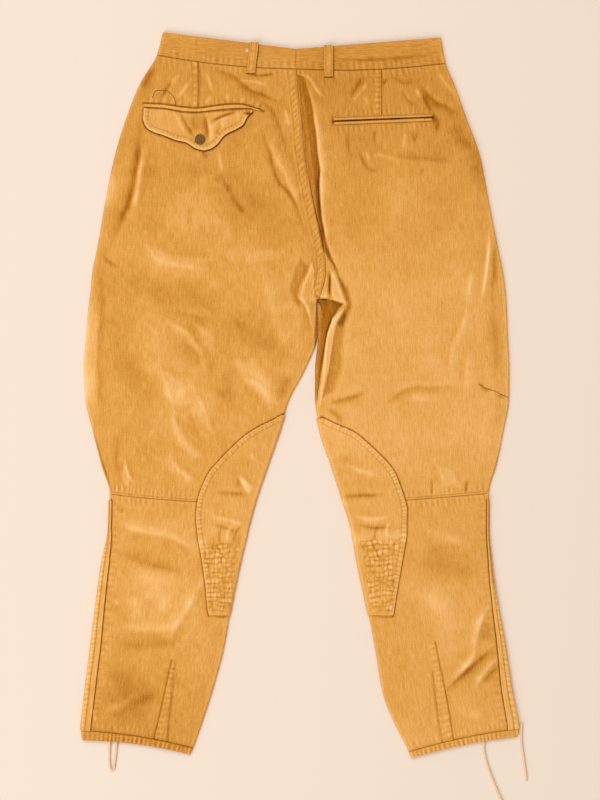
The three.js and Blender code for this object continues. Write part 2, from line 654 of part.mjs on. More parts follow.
const backGrids = {};
const calfGrids = {};
const frontGrids = {};
for (const { side, seams } of halves) {
  backGrids[side] = wallPiece("back_panel_" + side, twill, PANEL_CLOTH, {
    side,
    vList: rowList("waistSeam", "knee"),
    reachOf: backReach(seams),
    count: 17,
    crowd: side === "right" ? 2.6 : 1.8,
  });
  calfGrids[side] = wallPiece("back_calf_" + side, twill, PANEL_CLOTH, {
    side,
    vList: rowList("knee", "hemSeam"),
    reachOf: backReach(seams),
    count: 17,
    crowd: side === "right" ? 2.6 : 1.8,
  });
  frontGrids[side] = wallPiece("front_panel_" + side, twill, PANEL_CLOTH, {
    side,
    vList: rowList("waistSeam", "hemSeam"),
    reachOf: frontReach(seams),
    count: 9,
    edge: 14,
    strip: 6,
  });
}

// ---- hem bands, cut at the side seams

for (const { side, seams } of halves) {
  const vList = rowList("hemSeam", "hemEnd", SEAM_GAP / 2, 0);
  wallPiece("hem_back_" + side, twill, HEM_CLOTH, {
    side,
    vList,
    reachOf: backReach(seams),
    count: 14,
  });
  wallPiece("hem_front_" + side, twill, HEM_CLOTH, {
    side,
    vList,
    reachOf: frontReach(seams),
    count: 9,
    edge: 14,
    strip: 6,
  });
}

// ---- calf plackets: a facing on the strip of the front that turns over the outer fold

const PLACKET_EDGE = 0.05; // its outer edge, just above the outermost line of the fold

for (const { side, seams } of halves) {
  const vList = frontGrids[side].vList.filter((v) => v > stationIndex.knee + 0.2);
  const strip = skinGrid({
    side,
    vList,
    reachOf: (row) => [
      row.round + outerSeamQ(row, PLACKET_EDGE),
      row.round + outerSeamQ(row, seamAt(seams, "out", row.v)) - seamRoom(seams, "out", row),
    ],
    count: 5,
    edge: 3,
  });
  const placket = wallMesh(strip, SEAM_GAP, SEAM_GAP + PANEL_CLOTH);
  addMesh("calf_placket_" + side, geometryOf(placket), twill);
}

// ---- pieces sewn on top: a layer of the panel's own points moved out, cut to an outline

const kernel = await Module();
kernel.setup();
const { Manifold, Mesh } = kernel;
const MERGE_WITHIN = 1e-3;

function solidOf({ positions, triangles }) {
  return new Manifold(
    new Mesh({
      numProp: 3,
      vertProperties: new Float32Array(positions),
      triVerts: new Uint32Array(triangles),
    }),
  );
}

function solidGeometry(solid) {
  const mesh = solid.getMesh();
  const geometry = new THREE.BufferGeometry();
  const positions = Array.from(mesh.vertProperties);
  geometry.setAttribute("position", new THREE.Float32BufferAttribute(positions, 3));
  geometry.setIndex(Array.from(mesh.triVerts));
  return geometry;
}

// A geometry of positions alone, its shared vertices merged.
function merged(geometry) {
  geometry.deleteAttribute("uv");
  geometry.deleteAttribute("normal");
  return mergeVertices(geometry, MERGE_WITHIN);
}

function solidOfGeometry(geometry) {
  const closed = merged(geometry);
  return solidOf({ positions: closed.attributes.position.array, triangles: closed.index.array });
}

// Layers start this far above the surface, so that none wraps under its side fold.
const LAYER_FLOOR = 1.4;
const CUTTER_HEIGHT = 60;

// Where two panels meet in a row seam, the layer runs on without the first panel's last row.
function layerSolid(grids, outline, cloth) {
  const joined = (key) =>
    grids.flatMap((grid, i) => (i < grids.length - 1 ? grid[key].slice(0, -1) : grid[key]));
  const layer = { side: grids[0].side, points: joined("points"), normals: joined("normals") };
  const sheet = solidOf(wallMesh(layer, SEAM_GAP, SEAM_GAP + cloth));
  let area = 0;
  outline.forEach(([x, y], i) => {
    const [x1, y1] = outline[(i + 1) % outline.length];
    area += x * y1 - x1 * y;
  });
  const ring = area > 0 ? outline : [...outline].reverse();
  const shape = new THREE.Shape(ring.map(([x, y]) => new THREE.Vector2(x, y)));
  const block = new THREE.ExtrudeGeometry(shape, { depth: CUTTER_HEIGHT, bevelEnabled: false });
  block.translate(0, 0, LAYER_FLOOR);
  return sheet.intersect(solidOfGeometry(block));
}

// ---- left pocket: flap and the welt above it

addMesh("pocket_flap_left", solidGeometry(layerSolid([backGrids.left], flap, FLAP_CLOTH)), pocketTwill);
addMesh("pocket_welt_left", solidGeometry(layerSolid([backGrids.left], flapWelt, WELT_CLOTH)), pocketTwill);

// ---- right pocket: two welts along the slit

for (const [name, outline] of [
  ["pocket_welt_right_upper", weltUpper],
  ["pocket_welt_right_lower", weltLower],
]) {
  addMesh(name, solidGeometry(layerSolid([backGrids.right], outline, WELT_CLOTH)), pocketTwill);
}

// ---- knee patches, quilted at their lower end

const QUILT_COLUMNS = 5;
const QUILT_ROWS = 9;

// Row and distance on one half's skin over a point of the layout.
function locate(side, x, y) {
  let low = 0;
  let high = stations.length - 1;
  for (let i = 0; i < 40; i += 1) {
    const v = (low + high) / 2;
    const row = rowOf(side, v);
    const u = (x - row.xo) / (row.xi - row.xo);
    const yRow = row.yo + (row.yi - row.yo) * u + row.bow * 4 * u * (1 - u);
    if (yRow > y) low = v;
    else high = v;
  }
  const row = rowOf(side, (low + high) / 2);
  const u = (x - row.xo) / (row.xi - row.xo);
  return { row, q: u * row.width - EDGE_HALF };
}

function surfaceAt(side, x, y) {
  const { row, q } = locate(side, x, y);
  const whole = (any) => [-any.outerArc / 2, any.top + any.innerArc / 2];
  const normal = skinNormal(side, row.v, q, [0, stations.length - 1], whole);
  return { point: skinPoint(row, q), normal };
}

// Pillows between two sets of stitch lines over a four-sided field.
function quiltSolid(side, field, base) {
  const grid = { side: "left", points: [], normals: [] };
  for (let i = 0; i <= QUILT_ROWS * 2; i += 1) {
    const points = [];
    const normals = [];
    for (let j = 0; j <= QUILT_COLUMNS * 2; j += 1) {
      const a = i / (QUILT_ROWS * 2);
      const b = j / (QUILT_COLUMNS * 2);
      const mix = (k) =>
        (field[0][k] * (1 - b) + field[1][k] * b) * (1 - a) + (field[3][k] * (1 - b) + field[2][k] * b) * a;
      const { point, normal } = surfaceAt(side, mix(0), mix(1));
      const puff = (i % 2) * (j % 2) * QUILT_RELIEF;
      points.push(point.addScaledVector(normal, base + puff));
      normals.push(new THREE.Vector3(0, 0, 1));
    }
    grid.points.push(points);
    grid.normals.push(normals);
  }
  return solidOf(wallMesh(grid, -0.8, 0.3));
}

for (const [side, outline, field] of [
  ["left", patchLeft, quiltLeft],
  ["right", patchRight, quiltRight],
]) {
  const layer = layerSolid([backGrids[side], calfGrids[side]], outline, PATCH_CLOTH);
  const quilt = quiltSolid(side, field, SEAM_GAP + PATCH_CLOTH);
  const whole = layer.add(quilt).decompose();
  whole.sort((a, b) => b.volume() - a.volume());
  addMesh("knee_patch_" + side, solidGeometry(whole[0]), twill);
}

// ---- belt loops: straps sewn down at both ends, standing a little off the band between them

for (const [name, side, line] of [
  ["belt_loop_left", "left", loopLeft],
  ["belt_loop_right", "right", loopRight],
]) {
  const grid = { side: "left", points: [], normals: [] };
  const steps = 8;
  for (let i = 0; i <= steps; i += 1) {
    const t = i / steps;
    const x = line[0][0] * (1 - t) + line[1][0] * t;
    const y = line[0][1] * (1 - t) + line[1][1] * t;
    const arch = BELT_LOOP_RISE * Math.sin(Math.PI * t) ** 0.7;
    const inside = Math.min(y, line[0][1] - 4);
    const base = surfaceAt(side, x, inside).point.z + SEAM_GAP + 0.15 + arch;
    const points = [];
    for (const across of [-0.5, 0, 0.5]) {
      points.push(new THREE.Vector3(x + across * BELT_LOOP_WIDTH, y, base));
    }
    grid.points.push(points);
    grid.normals.push(points.map(() => new THREE.Vector3(0, 0, 1)));
  }
  addMesh(name, geometryOf(wallMesh(grid, 0, LOOP_CLOTH)), twill);
}

// ---- button on the flap

{
  const [x, y] = buttonPlace;
  const base = surfaceAt("left", x, y).point.z + 2 * SEAM_GAP + FLAP_CLOTH + 0.1;
  const profile = [
    [0, 0],
    [BUTTON_RADIUS - 0.9, 0],
    [BUTTON_RADIUS, 0.8],
    [BUTTON_RADIUS, 1.9],
    [BUTTON_RADIUS - 0.9, BUTTON_HEIGHT],
    [BUTTON_RADIUS - 2.3, BUTTON_HEIGHT],
    [BUTTON_RADIUS - 3.4, BUTTON_HEIGHT - 0.8],
    [0, BUTTON_HEIGHT - 0.8],
  ];
  const turned = new THREE.LatheGeometry(
    profile.map(([r, z]) => new THREE.Vector2(r, z)),
    20,
  );
  turned.rotateX(Math.PI / 2);
  turned.translate(x, y, base);
  addMesh("flap_button", merged(turned), buttonHorn);
}

// ---- laces: round cord, out of the leg ends and along the surface

const laces = [
  { name: "lace_left", points: laceLeft, step: 2.6 },
  { name: "lace_right_long", points: laceRightLong, step: 6 },
  { name: "lace_right_short", points: laceRightShort, step: 6 },
];

for (const { name, points, step } of laces) {
  const path = new THREE.CatmullRomCurve3(
    points.map(([x, y, z]) => new THREE.Vector3(x, y, z)),
    false,
    "centripetal",
  );
  const shape = new THREE.Shape();
  for (let i = 0; i < 8; i += 1) {
    const angle = ((i + 0.5) / 8) * 2 * Math.PI;
    const x = (LACE_DIAMETER / 2) * Math.cos(angle);
    const y = (LACE_DIAMETER / 2) * Math.sin(angle);
    if (i === 0) shape.moveTo(x, y);
    else shape.lineTo(x, y);
  }
  shape.closePath();
  const steps = Math.round(path.getLength() / step);
  const geometry = new THREE.ExtrudeGeometry(shape, { steps, extrudePath: path });
  addMesh(name, merged(geometry), laceCotton);
}

export default group;
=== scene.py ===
import math

import bpy
import numpy as np
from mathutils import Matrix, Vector


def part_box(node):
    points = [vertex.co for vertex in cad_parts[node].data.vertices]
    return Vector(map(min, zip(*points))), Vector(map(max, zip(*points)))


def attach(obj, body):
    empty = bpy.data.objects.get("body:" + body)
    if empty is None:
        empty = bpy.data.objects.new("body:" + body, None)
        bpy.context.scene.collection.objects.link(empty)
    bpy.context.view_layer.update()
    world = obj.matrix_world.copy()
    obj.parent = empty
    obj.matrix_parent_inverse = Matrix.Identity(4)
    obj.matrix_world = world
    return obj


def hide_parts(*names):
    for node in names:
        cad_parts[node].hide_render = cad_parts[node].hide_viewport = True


# Cotton jodhpurs laid flat, back side up: +X is the wearer's right, +Y the waist, +Z up.
# The cloth is worked out in millimetres and made in metres.
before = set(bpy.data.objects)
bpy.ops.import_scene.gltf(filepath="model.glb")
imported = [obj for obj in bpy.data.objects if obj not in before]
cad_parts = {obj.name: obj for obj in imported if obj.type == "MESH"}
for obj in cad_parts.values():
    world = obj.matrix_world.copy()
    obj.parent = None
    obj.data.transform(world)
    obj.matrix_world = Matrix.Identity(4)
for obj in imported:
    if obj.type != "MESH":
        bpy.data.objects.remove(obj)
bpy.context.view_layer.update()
mm = 0.001

# Materials.

def linear(hexColour):
    parts = [int(hexColour[i:i + 2], 16) / 255 for i in (0, 2, 4)]
    return (*[c / 12.92 if c <= 0.04045 else ((c + 0.055) / 1.055) ** 2.4 for c in parts], 1)


def addNode(tree, kind, inputs=(), **settings):
    made = tree.nodes.new(kind)
    for name, value in settings.items():
        setattr(made, name, value)
    for socket, value in dict(inputs).items():
        if isinstance(value, bpy.types.NodeSocket):
            tree.links.new(value, made.inputs[socket])
        else:
            made.inputs[socket].default_value = value
    return made


def newMaterial(name, **shader):
    material = bpy.data.materials.new(name)
    material.use_nodes = True
    tree = material.node_tree
    bsdf = tree.nodes["Principled BSDF"]
    for socket, value in shader.items():
        bsdf.inputs[socket.replace("_", " ")].default_value = value
    return material, tree, bsdf


# Garment-dyed cotton twill, soft and matt: slubs run down the warp. The tone that the mesh carries makes
# ridges rubbed paler and lit with painted highlights, and creases darkened with painted shade.
clothSet = {
    # tone to colour: the dark, saturated end is the colour of the painted shade in creases and hollows
    "colours": {0.0: "5a2f00", 0.3: "ae6c00", 0.6: "dfa24a", 0.82: "f6c077", 1.0: "ffdba0"},
    # each layer of yarn: mm across the warp and along it, detail, share of tone, share of height
    "yarns": {
        "slub": (1.1, 13, 2, 0.36, 0.5),  # drawn three times as coarse as the yarn
        "speck": (1.1, 2.2, 1, 0.18, 0.35),
        "streak": (3.4, 50, 2, 0.12, 0.0),
        "mottle": (60, 90, 3, 0.14, 0.0),
    },
    "twillPitch": 1.8,  # the real diagonal is 0.8 mm and would not show
    "twillLean": 22,
    "twillHeight": 0.22,
    "bump": 0.0007,
    "sheen": 0.12,
    "roughness": 0.92,
}


def makeTwill(name, lighter=0.0):
    material, tree, bsdf = newMaterial(name, Roughness=clothSet["roughness"], Specular_IOR_Level=0.18,
                                       Sheen_Weight=clothSet["sheen"], Sheen_Roughness=0.6)
    grain = addNode(tree, "ShaderNodeUVMap", uv_map="grain").outputs["UV"]
    tone = addNode(tree, "ShaderNodeAttribute", attribute_name="wearAndShading").outputs["Fac"]
    turn = (0, 0, math.radians(clothSet["twillLean"]))
    lean = addNode(tree, "ShaderNodeMapping", {"Vector": grain, "Rotation": turn}).outputs["Vector"]
    pitch = math.tau / 20 / (clothSet["twillPitch"] * mm)  # a wave texture's scale for one band in each pitch
    twill = addNode(tree, "ShaderNodeTexWave", {"Vector": lean, "Distortion": 0.5, "Detail": 1.0,
                                                "Scale": pitch})
    height = addNode(tree, "ShaderNodeMath", {0: twill.outputs["Fac"], 1: clothSet["twillHeight"]},
                     operation="MULTIPLY").outputs[0]
    middle = lighter
    for across, along, detail, toneShare, heightShare in clothSet["yarns"].values():
        size = (1 / (across * mm), 1 / (along * mm), 1)
        place = addNode(tree, "ShaderNodeMapping", {"Vector": grain, "Scale": size}).outputs["Vector"]
        noise = addNode(tree, "ShaderNodeTexNoise", {"Vector": place, "Scale": 1, "Detail": detail,
                                                     "Roughness": 0.6}, noise_dimensions="2D").outputs["Fac"]
        tone = addNode(tree, "ShaderNodeMath", {0: noise, 1: toneShare, 2: tone},
                       operation="MULTIPLY_ADD").outputs[0]
        height = addNode(tree, "ShaderNodeMath", {0: noise, 1: heightShare, 2: height},
                         operation="MULTIPLY_ADD").outputs[0]
        middle -= toneShare / 2
    tone = addNode(tree, "ShaderNodeMath", {0: tone, 1: middle}, operation="ADD").outputs[0]
    ramp = addNode(tree, "ShaderNodeValToRGB", {"Fac": tone})
    while len(ramp.color_ramp.elements) < len(clothSet["colours"]):
        ramp.color_ramp.elements.new(0.5)
    for element, (at, colour) in zip(ramp.color_ramp.elements, clothSet["colours"].items()):
        element.position = at
        element.color = linear(colour)
    tree.links.new(ramp.outputs["Color"], bsdf.inputs["Base Color"])
    bump = addNode(tree, "ShaderNodeBump", {"Height": height, "Strength": 0.6, "Distance": clothSet["bump"]})
    tree.links.new(bump.outputs["Normal"], bsdf.inputs["Normal"])
    return material


# A material mottled between two colours. bump: strength and depth of its grain.
def makeMottled(name, low, high, scale, detail, distortion=0.0, bump=None, **shader):
    material, tree, bsdf = newMaterial(name, **shader)
    coords = addNode(tree, "ShaderNodeTexCoord").outputs["Object"]
    noise = addNode(tree, "ShaderNodeTexNoise", {"Vector": coords, "Scale": scale, "Detail": detail,
                                                 "Distortion": distortion}).outputs["Fac"]
    mix = addNode(tree, "ShaderNodeMix", {"Factor": noise, 6: linear(low), 7: linear(high)}, data_type="RGBA")
    tree.links.new(mix.outputs[2], bsdf.inputs["Base Color"])
    if bump:
        grain = addNode(tree, "ShaderNodeBump", {"Height": noise, "Strength": bump[0], "Distance": bump[1]})
        tree.links.new(grain.outputs["Normal"], bsdf.inputs["Normal"])
    return material


cottonTwill = makeTwill("cottonTwill")
pocketTwill = makeTwill("pocketTwill", 0.05)
# Spun polyester-cotton sewing thread: matt, two twisted plies, a shade off the cloth.
sewingThread = makeMottled("spunSewingThread", "b97f36", "f0c583", 240.0, 2.0, Roughness=0.7,
                           Sheen_Weight=0.2)
# The same thread in dark brown, of another reel.
brownThread = makeMottled("brownDarningThread", "4a2c1c", "8a5a34", 240.0, 2.0, Roughness=0.7,
                          Sheen_Weight=0.2)
# Braided cotton lace, undyed and faded: a fine plait that catches light on each strand.
laceCotton = makeMottled("braidedLaceCotton", "d9a878", "fff0d0", 900.0, 3.0, bump=(0.5, 0.0003),
                         Roughness=0.85, Sheen_Weight=0.15)
# Dyed horn button, polished on its rim and dull in the dish.
hornButton = makeMottled("polishedHorn", "3c2206", "946428", 260.0, 4.0, 1.5, bump=(0.3, 0.0002),
                         Roughness=0.42, Specular_IOR_Level=0.2)
print("materials made")

# Camera and laces.

cameraSet = {
    "height": 2.0,  # metres above the floor
    "lookAt": (0.0002, -0.0067),
    "frameLong": 1.12,  # how much floor the long side of the frame takes in
    "sensor": 36,
}


def makeCamera():
    data = bpy.data.cameras.new("studioCamera")
    data.sensor_width = cameraSet["sensor"]
    data.lens = cameraSet["sensor"] * cameraSet["height"] / cameraSet["frameLong"]
    data.clip_end = 20
    camera = bpy.data.objects.new("studioCamera", data)
    camera.location = (*cameraSet["lookAt"], cameraSet["height"])
    bpy.context.collection.objects.link(camera)
    bpy.context.scene.camera = camera


makeCamera()

laceSet = {
    "diameter": 0.0034,
    "sides": 10,
    "ring": 0.0011,  # between two rings of the tube
    "braid": 0.07,  # how far the plaits stand out, as a share of the radius
    "plait": 0.0036,  # length of one plait
}

# routes in metres, from inside the leg end
laceRoutes = {
    "lace_left": [
        (-0.266, -0.470, 0.0034), (-0.266, -0.480, 0.0034), (-0.266, -0.489, 0.0031),
        (-0.2664, -0.500, 0.00172), (-0.2665, -0.510, 0.00172), (-0.266, -0.518, 0.00172),
        (-0.2648, -0.5226, 0.00172), (-0.2624, -0.5248, 0.00172), (-0.2602, -0.5224, 0.00172),
        (-0.2594, -0.5175, 0.00172), (-0.2582, -0.508, 0.00172), (-0.2572, -0.499, 0.00172),
        (-0.2565, -0.490, 0.0031), (-0.2565, -0.481, 0.0034), (-0.2565, -0.472, 0.0034),
    ],
    "lace_right_long": [
        (0.2565, -0.466, 0.0034), (0.2568, -0.476, 0.0034), (0.257, -0.486, 0.0032),
        (0.2575, -0.496, 0.00172), (0.2605, -0.511, 0.00172), (0.2645, -0.524, 0.00172),
        (0.2695, -0.537, 0.00172), (0.2755, -0.552, 0.00172), (0.282, -0.5665, 0.00172),
        (0.287, -0.578, 0.00172),
    ],
    "lace_right_short": [
        (0.3096, -0.460, 0.0034), (0.3096, -0.468, 0.0028), (0.3096, -0.477, 0.00202),
        (0.3102, -0.487, 0.00172), (0.3116, -0.498, 0.00172), (0.3135, -0.511, 0.00172),
        (0.3153, -0.524, 0.00172), (0.317, -0.5385, 0.00172),
    ],
}


# A smooth curve through the points, with a point about every step.
def smoothLine(points, step):
    p = np.array(points, float)
    before, after = 2 * p[0] - p[1], 2 * p[-1] - p[-2]
    q = np.vstack([before, p, after])
    made = []
    for i in range(1, len(q) - 2):
        count = max(1, round(float(np.linalg.norm(q[i + 1] - q[i])) / step))
        t = np.arange(count)[:, None] / count
        made.append(0.5 * (2 * q[i] + (q[i + 1] - q[i - 1]) * t
                           + (2 * q[i - 1] - 5 * q[i] + 4 * q[i + 1] - q[i + 2]) * t ** 2
                           + (3 * q[i] - q[i - 1] - 3 * q[i + 1] + q[i + 2]) * t ** 3))
    return np.vstack([*made, p[-1:]])


# Distance walked to each point of a line.
def walked(line):
    return np.concatenate([[0], np.cumsum(np.linalg.norm(np.diff(line, axis=0), axis=1))])


# Faces of a tube of rings, closed at both ends.
def tubeFaces(rings, sides):
    faces = [list(range(sides))[::-1], list(range((rings - 1) * sides, rings * sides))]
    for start in range(0, (rings - 1) * sides, sides):
        for j in range(sides):
            after = (j + 1) % sides
            faces.append([start + j, start + after, start + sides + after, start + sides + j])
    return faces


def newObject(name, mesh, material):
    thing = bpy.data.objects.new(name, mesh)
    bpy.context.collection.objects.link(thing)
    mesh.materials.append(material)
    return thing


def makeLace(node, route):
    name = node.replace("lace", "leg_lace")
    line = smoothLine(route, laceSet["ring"])
    sides = laceSet["sides"]
    ahead = np.gradient(line, axis=0)
    ahead /= np.linalg.norm(ahead, axis=1)[:, None]
    side = np.cross(ahead, (0, 0, 1.0))
    side /= np.linalg.norm(side, axis=1)[:, None]
    up = np.cross(side, ahead)
    run = walked(line)
    turn = np.arange(sides) * math.tau / sides
    plaits = np.sin(2 * turn[None] + math.tau * run[:, None] / laceSet["plait"]) \
        * np.sin(2 * turn[None] - math.tau * run[:, None] / laceSet["plait"])
    radius = laceSet["diameter"] / 2 * (1 - laceSet["braid"] * (0.5 + 0.5 * plaits))
    across = radius * np.cos(turn)
    height = radius * np.sin(turn)
    verts = line[:, None] + side[:, None] * across[..., None] + up[:, None] * height[..., None]
    mesh = bpy.data.meshes.new(name)
    mesh.from_pydata(verts.reshape(-1, 3).tolist(), [], tubeFaces(len(line), sides))
    mesh.shade_smooth()
    lace = newObject(name, mesh, laceCotton)
    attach(lace, "root")
    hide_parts(node)


for node, farEnd in (("lace_left", "object"), ("lace_right_long", "bare"), ("lace_right_short", "bare")):
    makeLace(node, laceRoutes[node])
print("laces made")

# The garment's skin: a flattened tube for each half, in millimetres.

cloth = {
    "panel": 1.2,
    "band": 1.8,
    "hem": 1.3,
    "patch": 1.2,
    "flap": 1.7,
    "welt": 1.1,
    "loop": 1.7,
    "gap": 0.3,
    "edgeHalf": 2.9,  # half the height of the flattened tube at a side fold
    "edgeReach": 26,
    "foldReach": 9,
}

meshSet = {  # steps of the cloth's grid
    "seam": 0.85,
    "seamReach": 12,
    "edge": 1.1,
    "edgeReach": 9,
    "fold": 0.9,
    "under": 9,
    "rim": 0.2,
}

# Rows across the garment. lo, li: outer fold and inner end of the left half; ro, ri: of the right half;
# bow: how far a row's middle sits above its ends; fork: 0 on the seat, 1 on a leg; nose: inner fold.
stationNames = ("lox", "loy", "lix", "liy", "rox", "roy", "rix", "riy", "bowL", "bowR",
                "loft", "fork", "nose")
stations = {
    "bandTop": (-191.5, 507, -5.5, 483.5, 197, 499.5, -5.5, 483.5, 0, 0, 0.2, 0, 0),
    "waistSeam": (-200, 475, -4.5, 455.5, 204, 463.5, -4.5, 455.5, -4.5, -5, 0.4, 0, 0),
    "hip": (-223, 436, -2, 424.5, 216.5, 433, -2, 424.5, -3, -3, 1, 0, 0),
    "pocket": (-242.5, 388, 2.5, 388, 232, 389.5, 2.5, 388, 0, 0, 1.3, 0, 0),
    "seat": (-259.5, 332, 7, 336.5, 252, 333.5, 7, 336.5, 0, 0, 1.6, 0, 0),
    "seatLow": (-271.5, 273.5, 18.5, 273.5, 263.5, 273.5, 18.5, 273.5, 0, 0, 1.8, 0, 0),
    "rise": (-282.5, 210.5, 33, 210.5, 276, 210.5, 33, 210.5, 0, 0, 1.8, 0, 0),
    "riseLow": (-290.5, 170, 36.5, 171, 284, 170, 36.5, 171, 0, 0, 1.8, 0, 0),
    "crotch": (-293, 142, 28, 137, 287.5, 142, 28, 137, 0, 0, 1.8, 0, 0),
    "split": (-295, 129, 23.5, 125, 288.5, 129, 24, 125, 0, 0, 1.8, 1, 2.2),
    "fork": (-298.5, 91.5, 24.5, 84.5, 290, 91.5, 25.5, 84.5, 0, 0, 1.6, 1, 2.8),
    "thigh": (-302, 38, 6, 34, 292.5, 35.5, 21, 34, 0, 0, 1.5, 1, 2.8),
    "thighLow": (-300, -4, -15, -6, 292, -6.5, 21, -6, 0, 0, 1.4, 1, 2.8),
    "kneeTop": (-289.5, -50, -30, -53, 284.5, -48.5, 29, -51.5, 0, 0, 1.2, 1, 2.8),
    "kneeMid": (-277.5, -97.5, -45.5, -97.5, 275, -96, 44.5, -97.5, 0, 0, 1, 1, 2.8),
    "knee": (-266, -138, -63.5, -151, 264, -137, 62, -152, -3, -1, 0.8, 1, 2.8),
    "calfTop": (-267, -186, -72.5, -184.5, 263.5, -186, 72, -184.5, 0, 0, 1.2, 1, 2.8),
    "calf1": (-276.5, -233.5, -84, -233.5, 267.5, -233.5, 80.5, -233.5, 0, 0, 1.4, 1, 2.8),
    "calf2": (-284.5, -289.5, -95.5, -289.5, 275.5, -289.5, 92.5, -289.5, 0, 0, 1.4, 1, 2.8),
    "calf3": (-292, -349.5, -105.5, -349.5, 286.5, -349.5, 104, -349.5, 0, 0, 1.4, 1, 2.8),
    "calf4": (-300, -412.5, -123, -415.5, 295.5, -408.5, 117, -421, 0, 0, 1.2, 1, 2.8),
    "hemSeam": (-306, -468, -149, -492.5, 306, -465.5, 152, -498, 4.5, 4, 1, 1, 2.8),
    "hemEnd": (-304.5, -482, -153, -502, 304.5, -477, 155.5, -507, 5, 4, 1, 1, 2.8),
}
stationAt = {name: i for i, name in enumerate(stations)}
lastStation = len(stations) - 1


# One column of the table as a smooth curve that never overshoots its rows.
def columnCurve(values):
    rise = np.diff(values)
    slope = np.zeros(len(values))
    slope[0], slope[-1] = rise[0], rise[-1]
    for i in range(1, len(values) - 1):
        product = rise[i - 1] * rise[i]
        slope[i] = 0 if product <= 0 else 2 * product / (rise[i - 1] + rise[i])

    def at(v):
        k = np.clip(np.floor(v).astype(int), 0, lastStation - 1)
        t = v - k
        a, b, d = slope[k], slope[k + 1], rise[k]
        return values[k] + t * (a + t * (3 * d - 2 * a - b + t * (a + b - 2 * d)))

    return at


stationTable = np.array(list(stations.values()), float)
columns = {name: columnCurve(stationTable[:, i]) for i, name in enumerate(stationNames)}

# Where the long seams lie over the side folds. 1: top of the fold, 0: outermost line, -1: bottom,
# then 10 mm for each further unit. out: outseam; inner: the inner end of the back panel.
seams = {
    "left": {
        "out": {"bandTop": -1.6, "fork": -1.6, "thighLow": -1.4, "kneeTop": -0.6, "kneeMid": 0.4,
                "knee": 1.05, "calfTop": 1.05, "calf1": 1.75, "calf2": 1.9, "calf3": 2.1, "hemEnd": 2.1},
        "inner": {"bandTop": 1, "crotch": 1, "split": 0, "fork": -1.3, "thighLow": -1.5, "hemEnd": -1.5},
        "front": {"bandTop": -1, "crotch": -1, "split": 0, "fork": -1.3, "thighLow": -1.5, "hemEnd": -1.5},
    },
    "right": {
        "out": {"bandTop": -1.6, "thigh": -1.6, "thighLow": -1.4, "kneeTop": -0.7, "kneeMid": 0.5,
                "knee": 0.9, "calfTop": 0.9, "calf1": 1.1, "calf2": 1.4, "calf3": 1.8, "calf4": 2.1,
                "hemEnd": 2.5},
        "inner": {"bandTop": 1, "crotch": 1, "split": 1.3, "fork": 1.7, "thigh": 1.45, "thighLow": 1,
                  "kneeTop": -1.2, "kneeMid": -1.5, "hemEnd": -1.5},
        "front": {"bandTop": -1, "crotch": -1, "split": 1.3, "fork": 1.7, "thigh": 1.45, "thighLow": 1,
                  "kneeTop": -1.2, "kneeMid": -1.5, "hemEnd": -1.5},
    },
}


def seamTurn(side, seam, v):
    table = seams[side][seam]
    return np.interp(v, [stationAt[at] for at in table], list(table.values()))


def smoothStep(x):
    t = np.clip(x, 0, 1)
    return t * t * (3 - 2 * t)


# Distance to a line, which side of it (1 on the left hand of someone walking along it), and how far along.
def nearLine(x, y, line):
    away = np.full(np.shape(x), 1e9)
    side, along, start = np.ones(np.shape(x)), np.zeros(np.shape(x)), 0.0
    for (x0, y0), (x1, y1) in zip(line[:-1], line[1:]):
        dx, dy = x1 - x0, y1 - y0
        length = math.hypot(dx, dy)
        t = np.clip(((x - x0) * dx + (y - y0) * dy) / length ** 2, 0, 1)
        gap = np.hypot(x - x0 - t * dx, y - y0 - t * dy)
        closer = gap < away
        away = np.where(closer, gap, away)
        side = np.where(closer, np.where(dx * (y - y0) - dy * (x - x0) > 0, 1, -1), side)
        along = np.where(closer, start + t * length, along)
        start += length
    return away, side, along, start


seeds = {
    "welt roll": 17,
    "welt slit shade": 18,
    "sway": 41,
    "drift": 42,
    "puff": 43,
    "quilt crease": 44,
    "pull": 45,
    "loop left": 61,
    "loop right": 62,
    "loop tone": 63,
    "crumple": 70,
    "wander x": 91,
    "wander y": 92,
    "uneven crease": 93,
}


# Smooth noise over the layout, the same each time.
def softNoise(x, y, size, seed):
    table = np.random.default_rng(seed).random((64, 64)) * 2 - 1
    gx, gy = x / size, y / size
    ix, iy = np.floor(gx).astype(int), np.floor(gy).astype(int)
    fx, fy = smoothStep(gx - ix), smoothStep(gy - iy)
    low = table[ix % 64, iy % 64] * (1 - fx) + table[(ix + 1) % 64, iy % 64] * fx
    high = table[ix % 64, (iy + 1) % 64] * (1 - fx) + table[(ix + 1) % 64, (iy + 1) % 64] * fx
    return low * (1 - fy) + high * fy


creaseSet = {
    "wander": (1.3, 21),  # mm that a crease strays, over what length
    "uneven": 0.35,
    "fade": 0.35,  # share of its length over which it dies away
    "point": 1.5,  # 2 is a round crest, 1 a sharp one
}
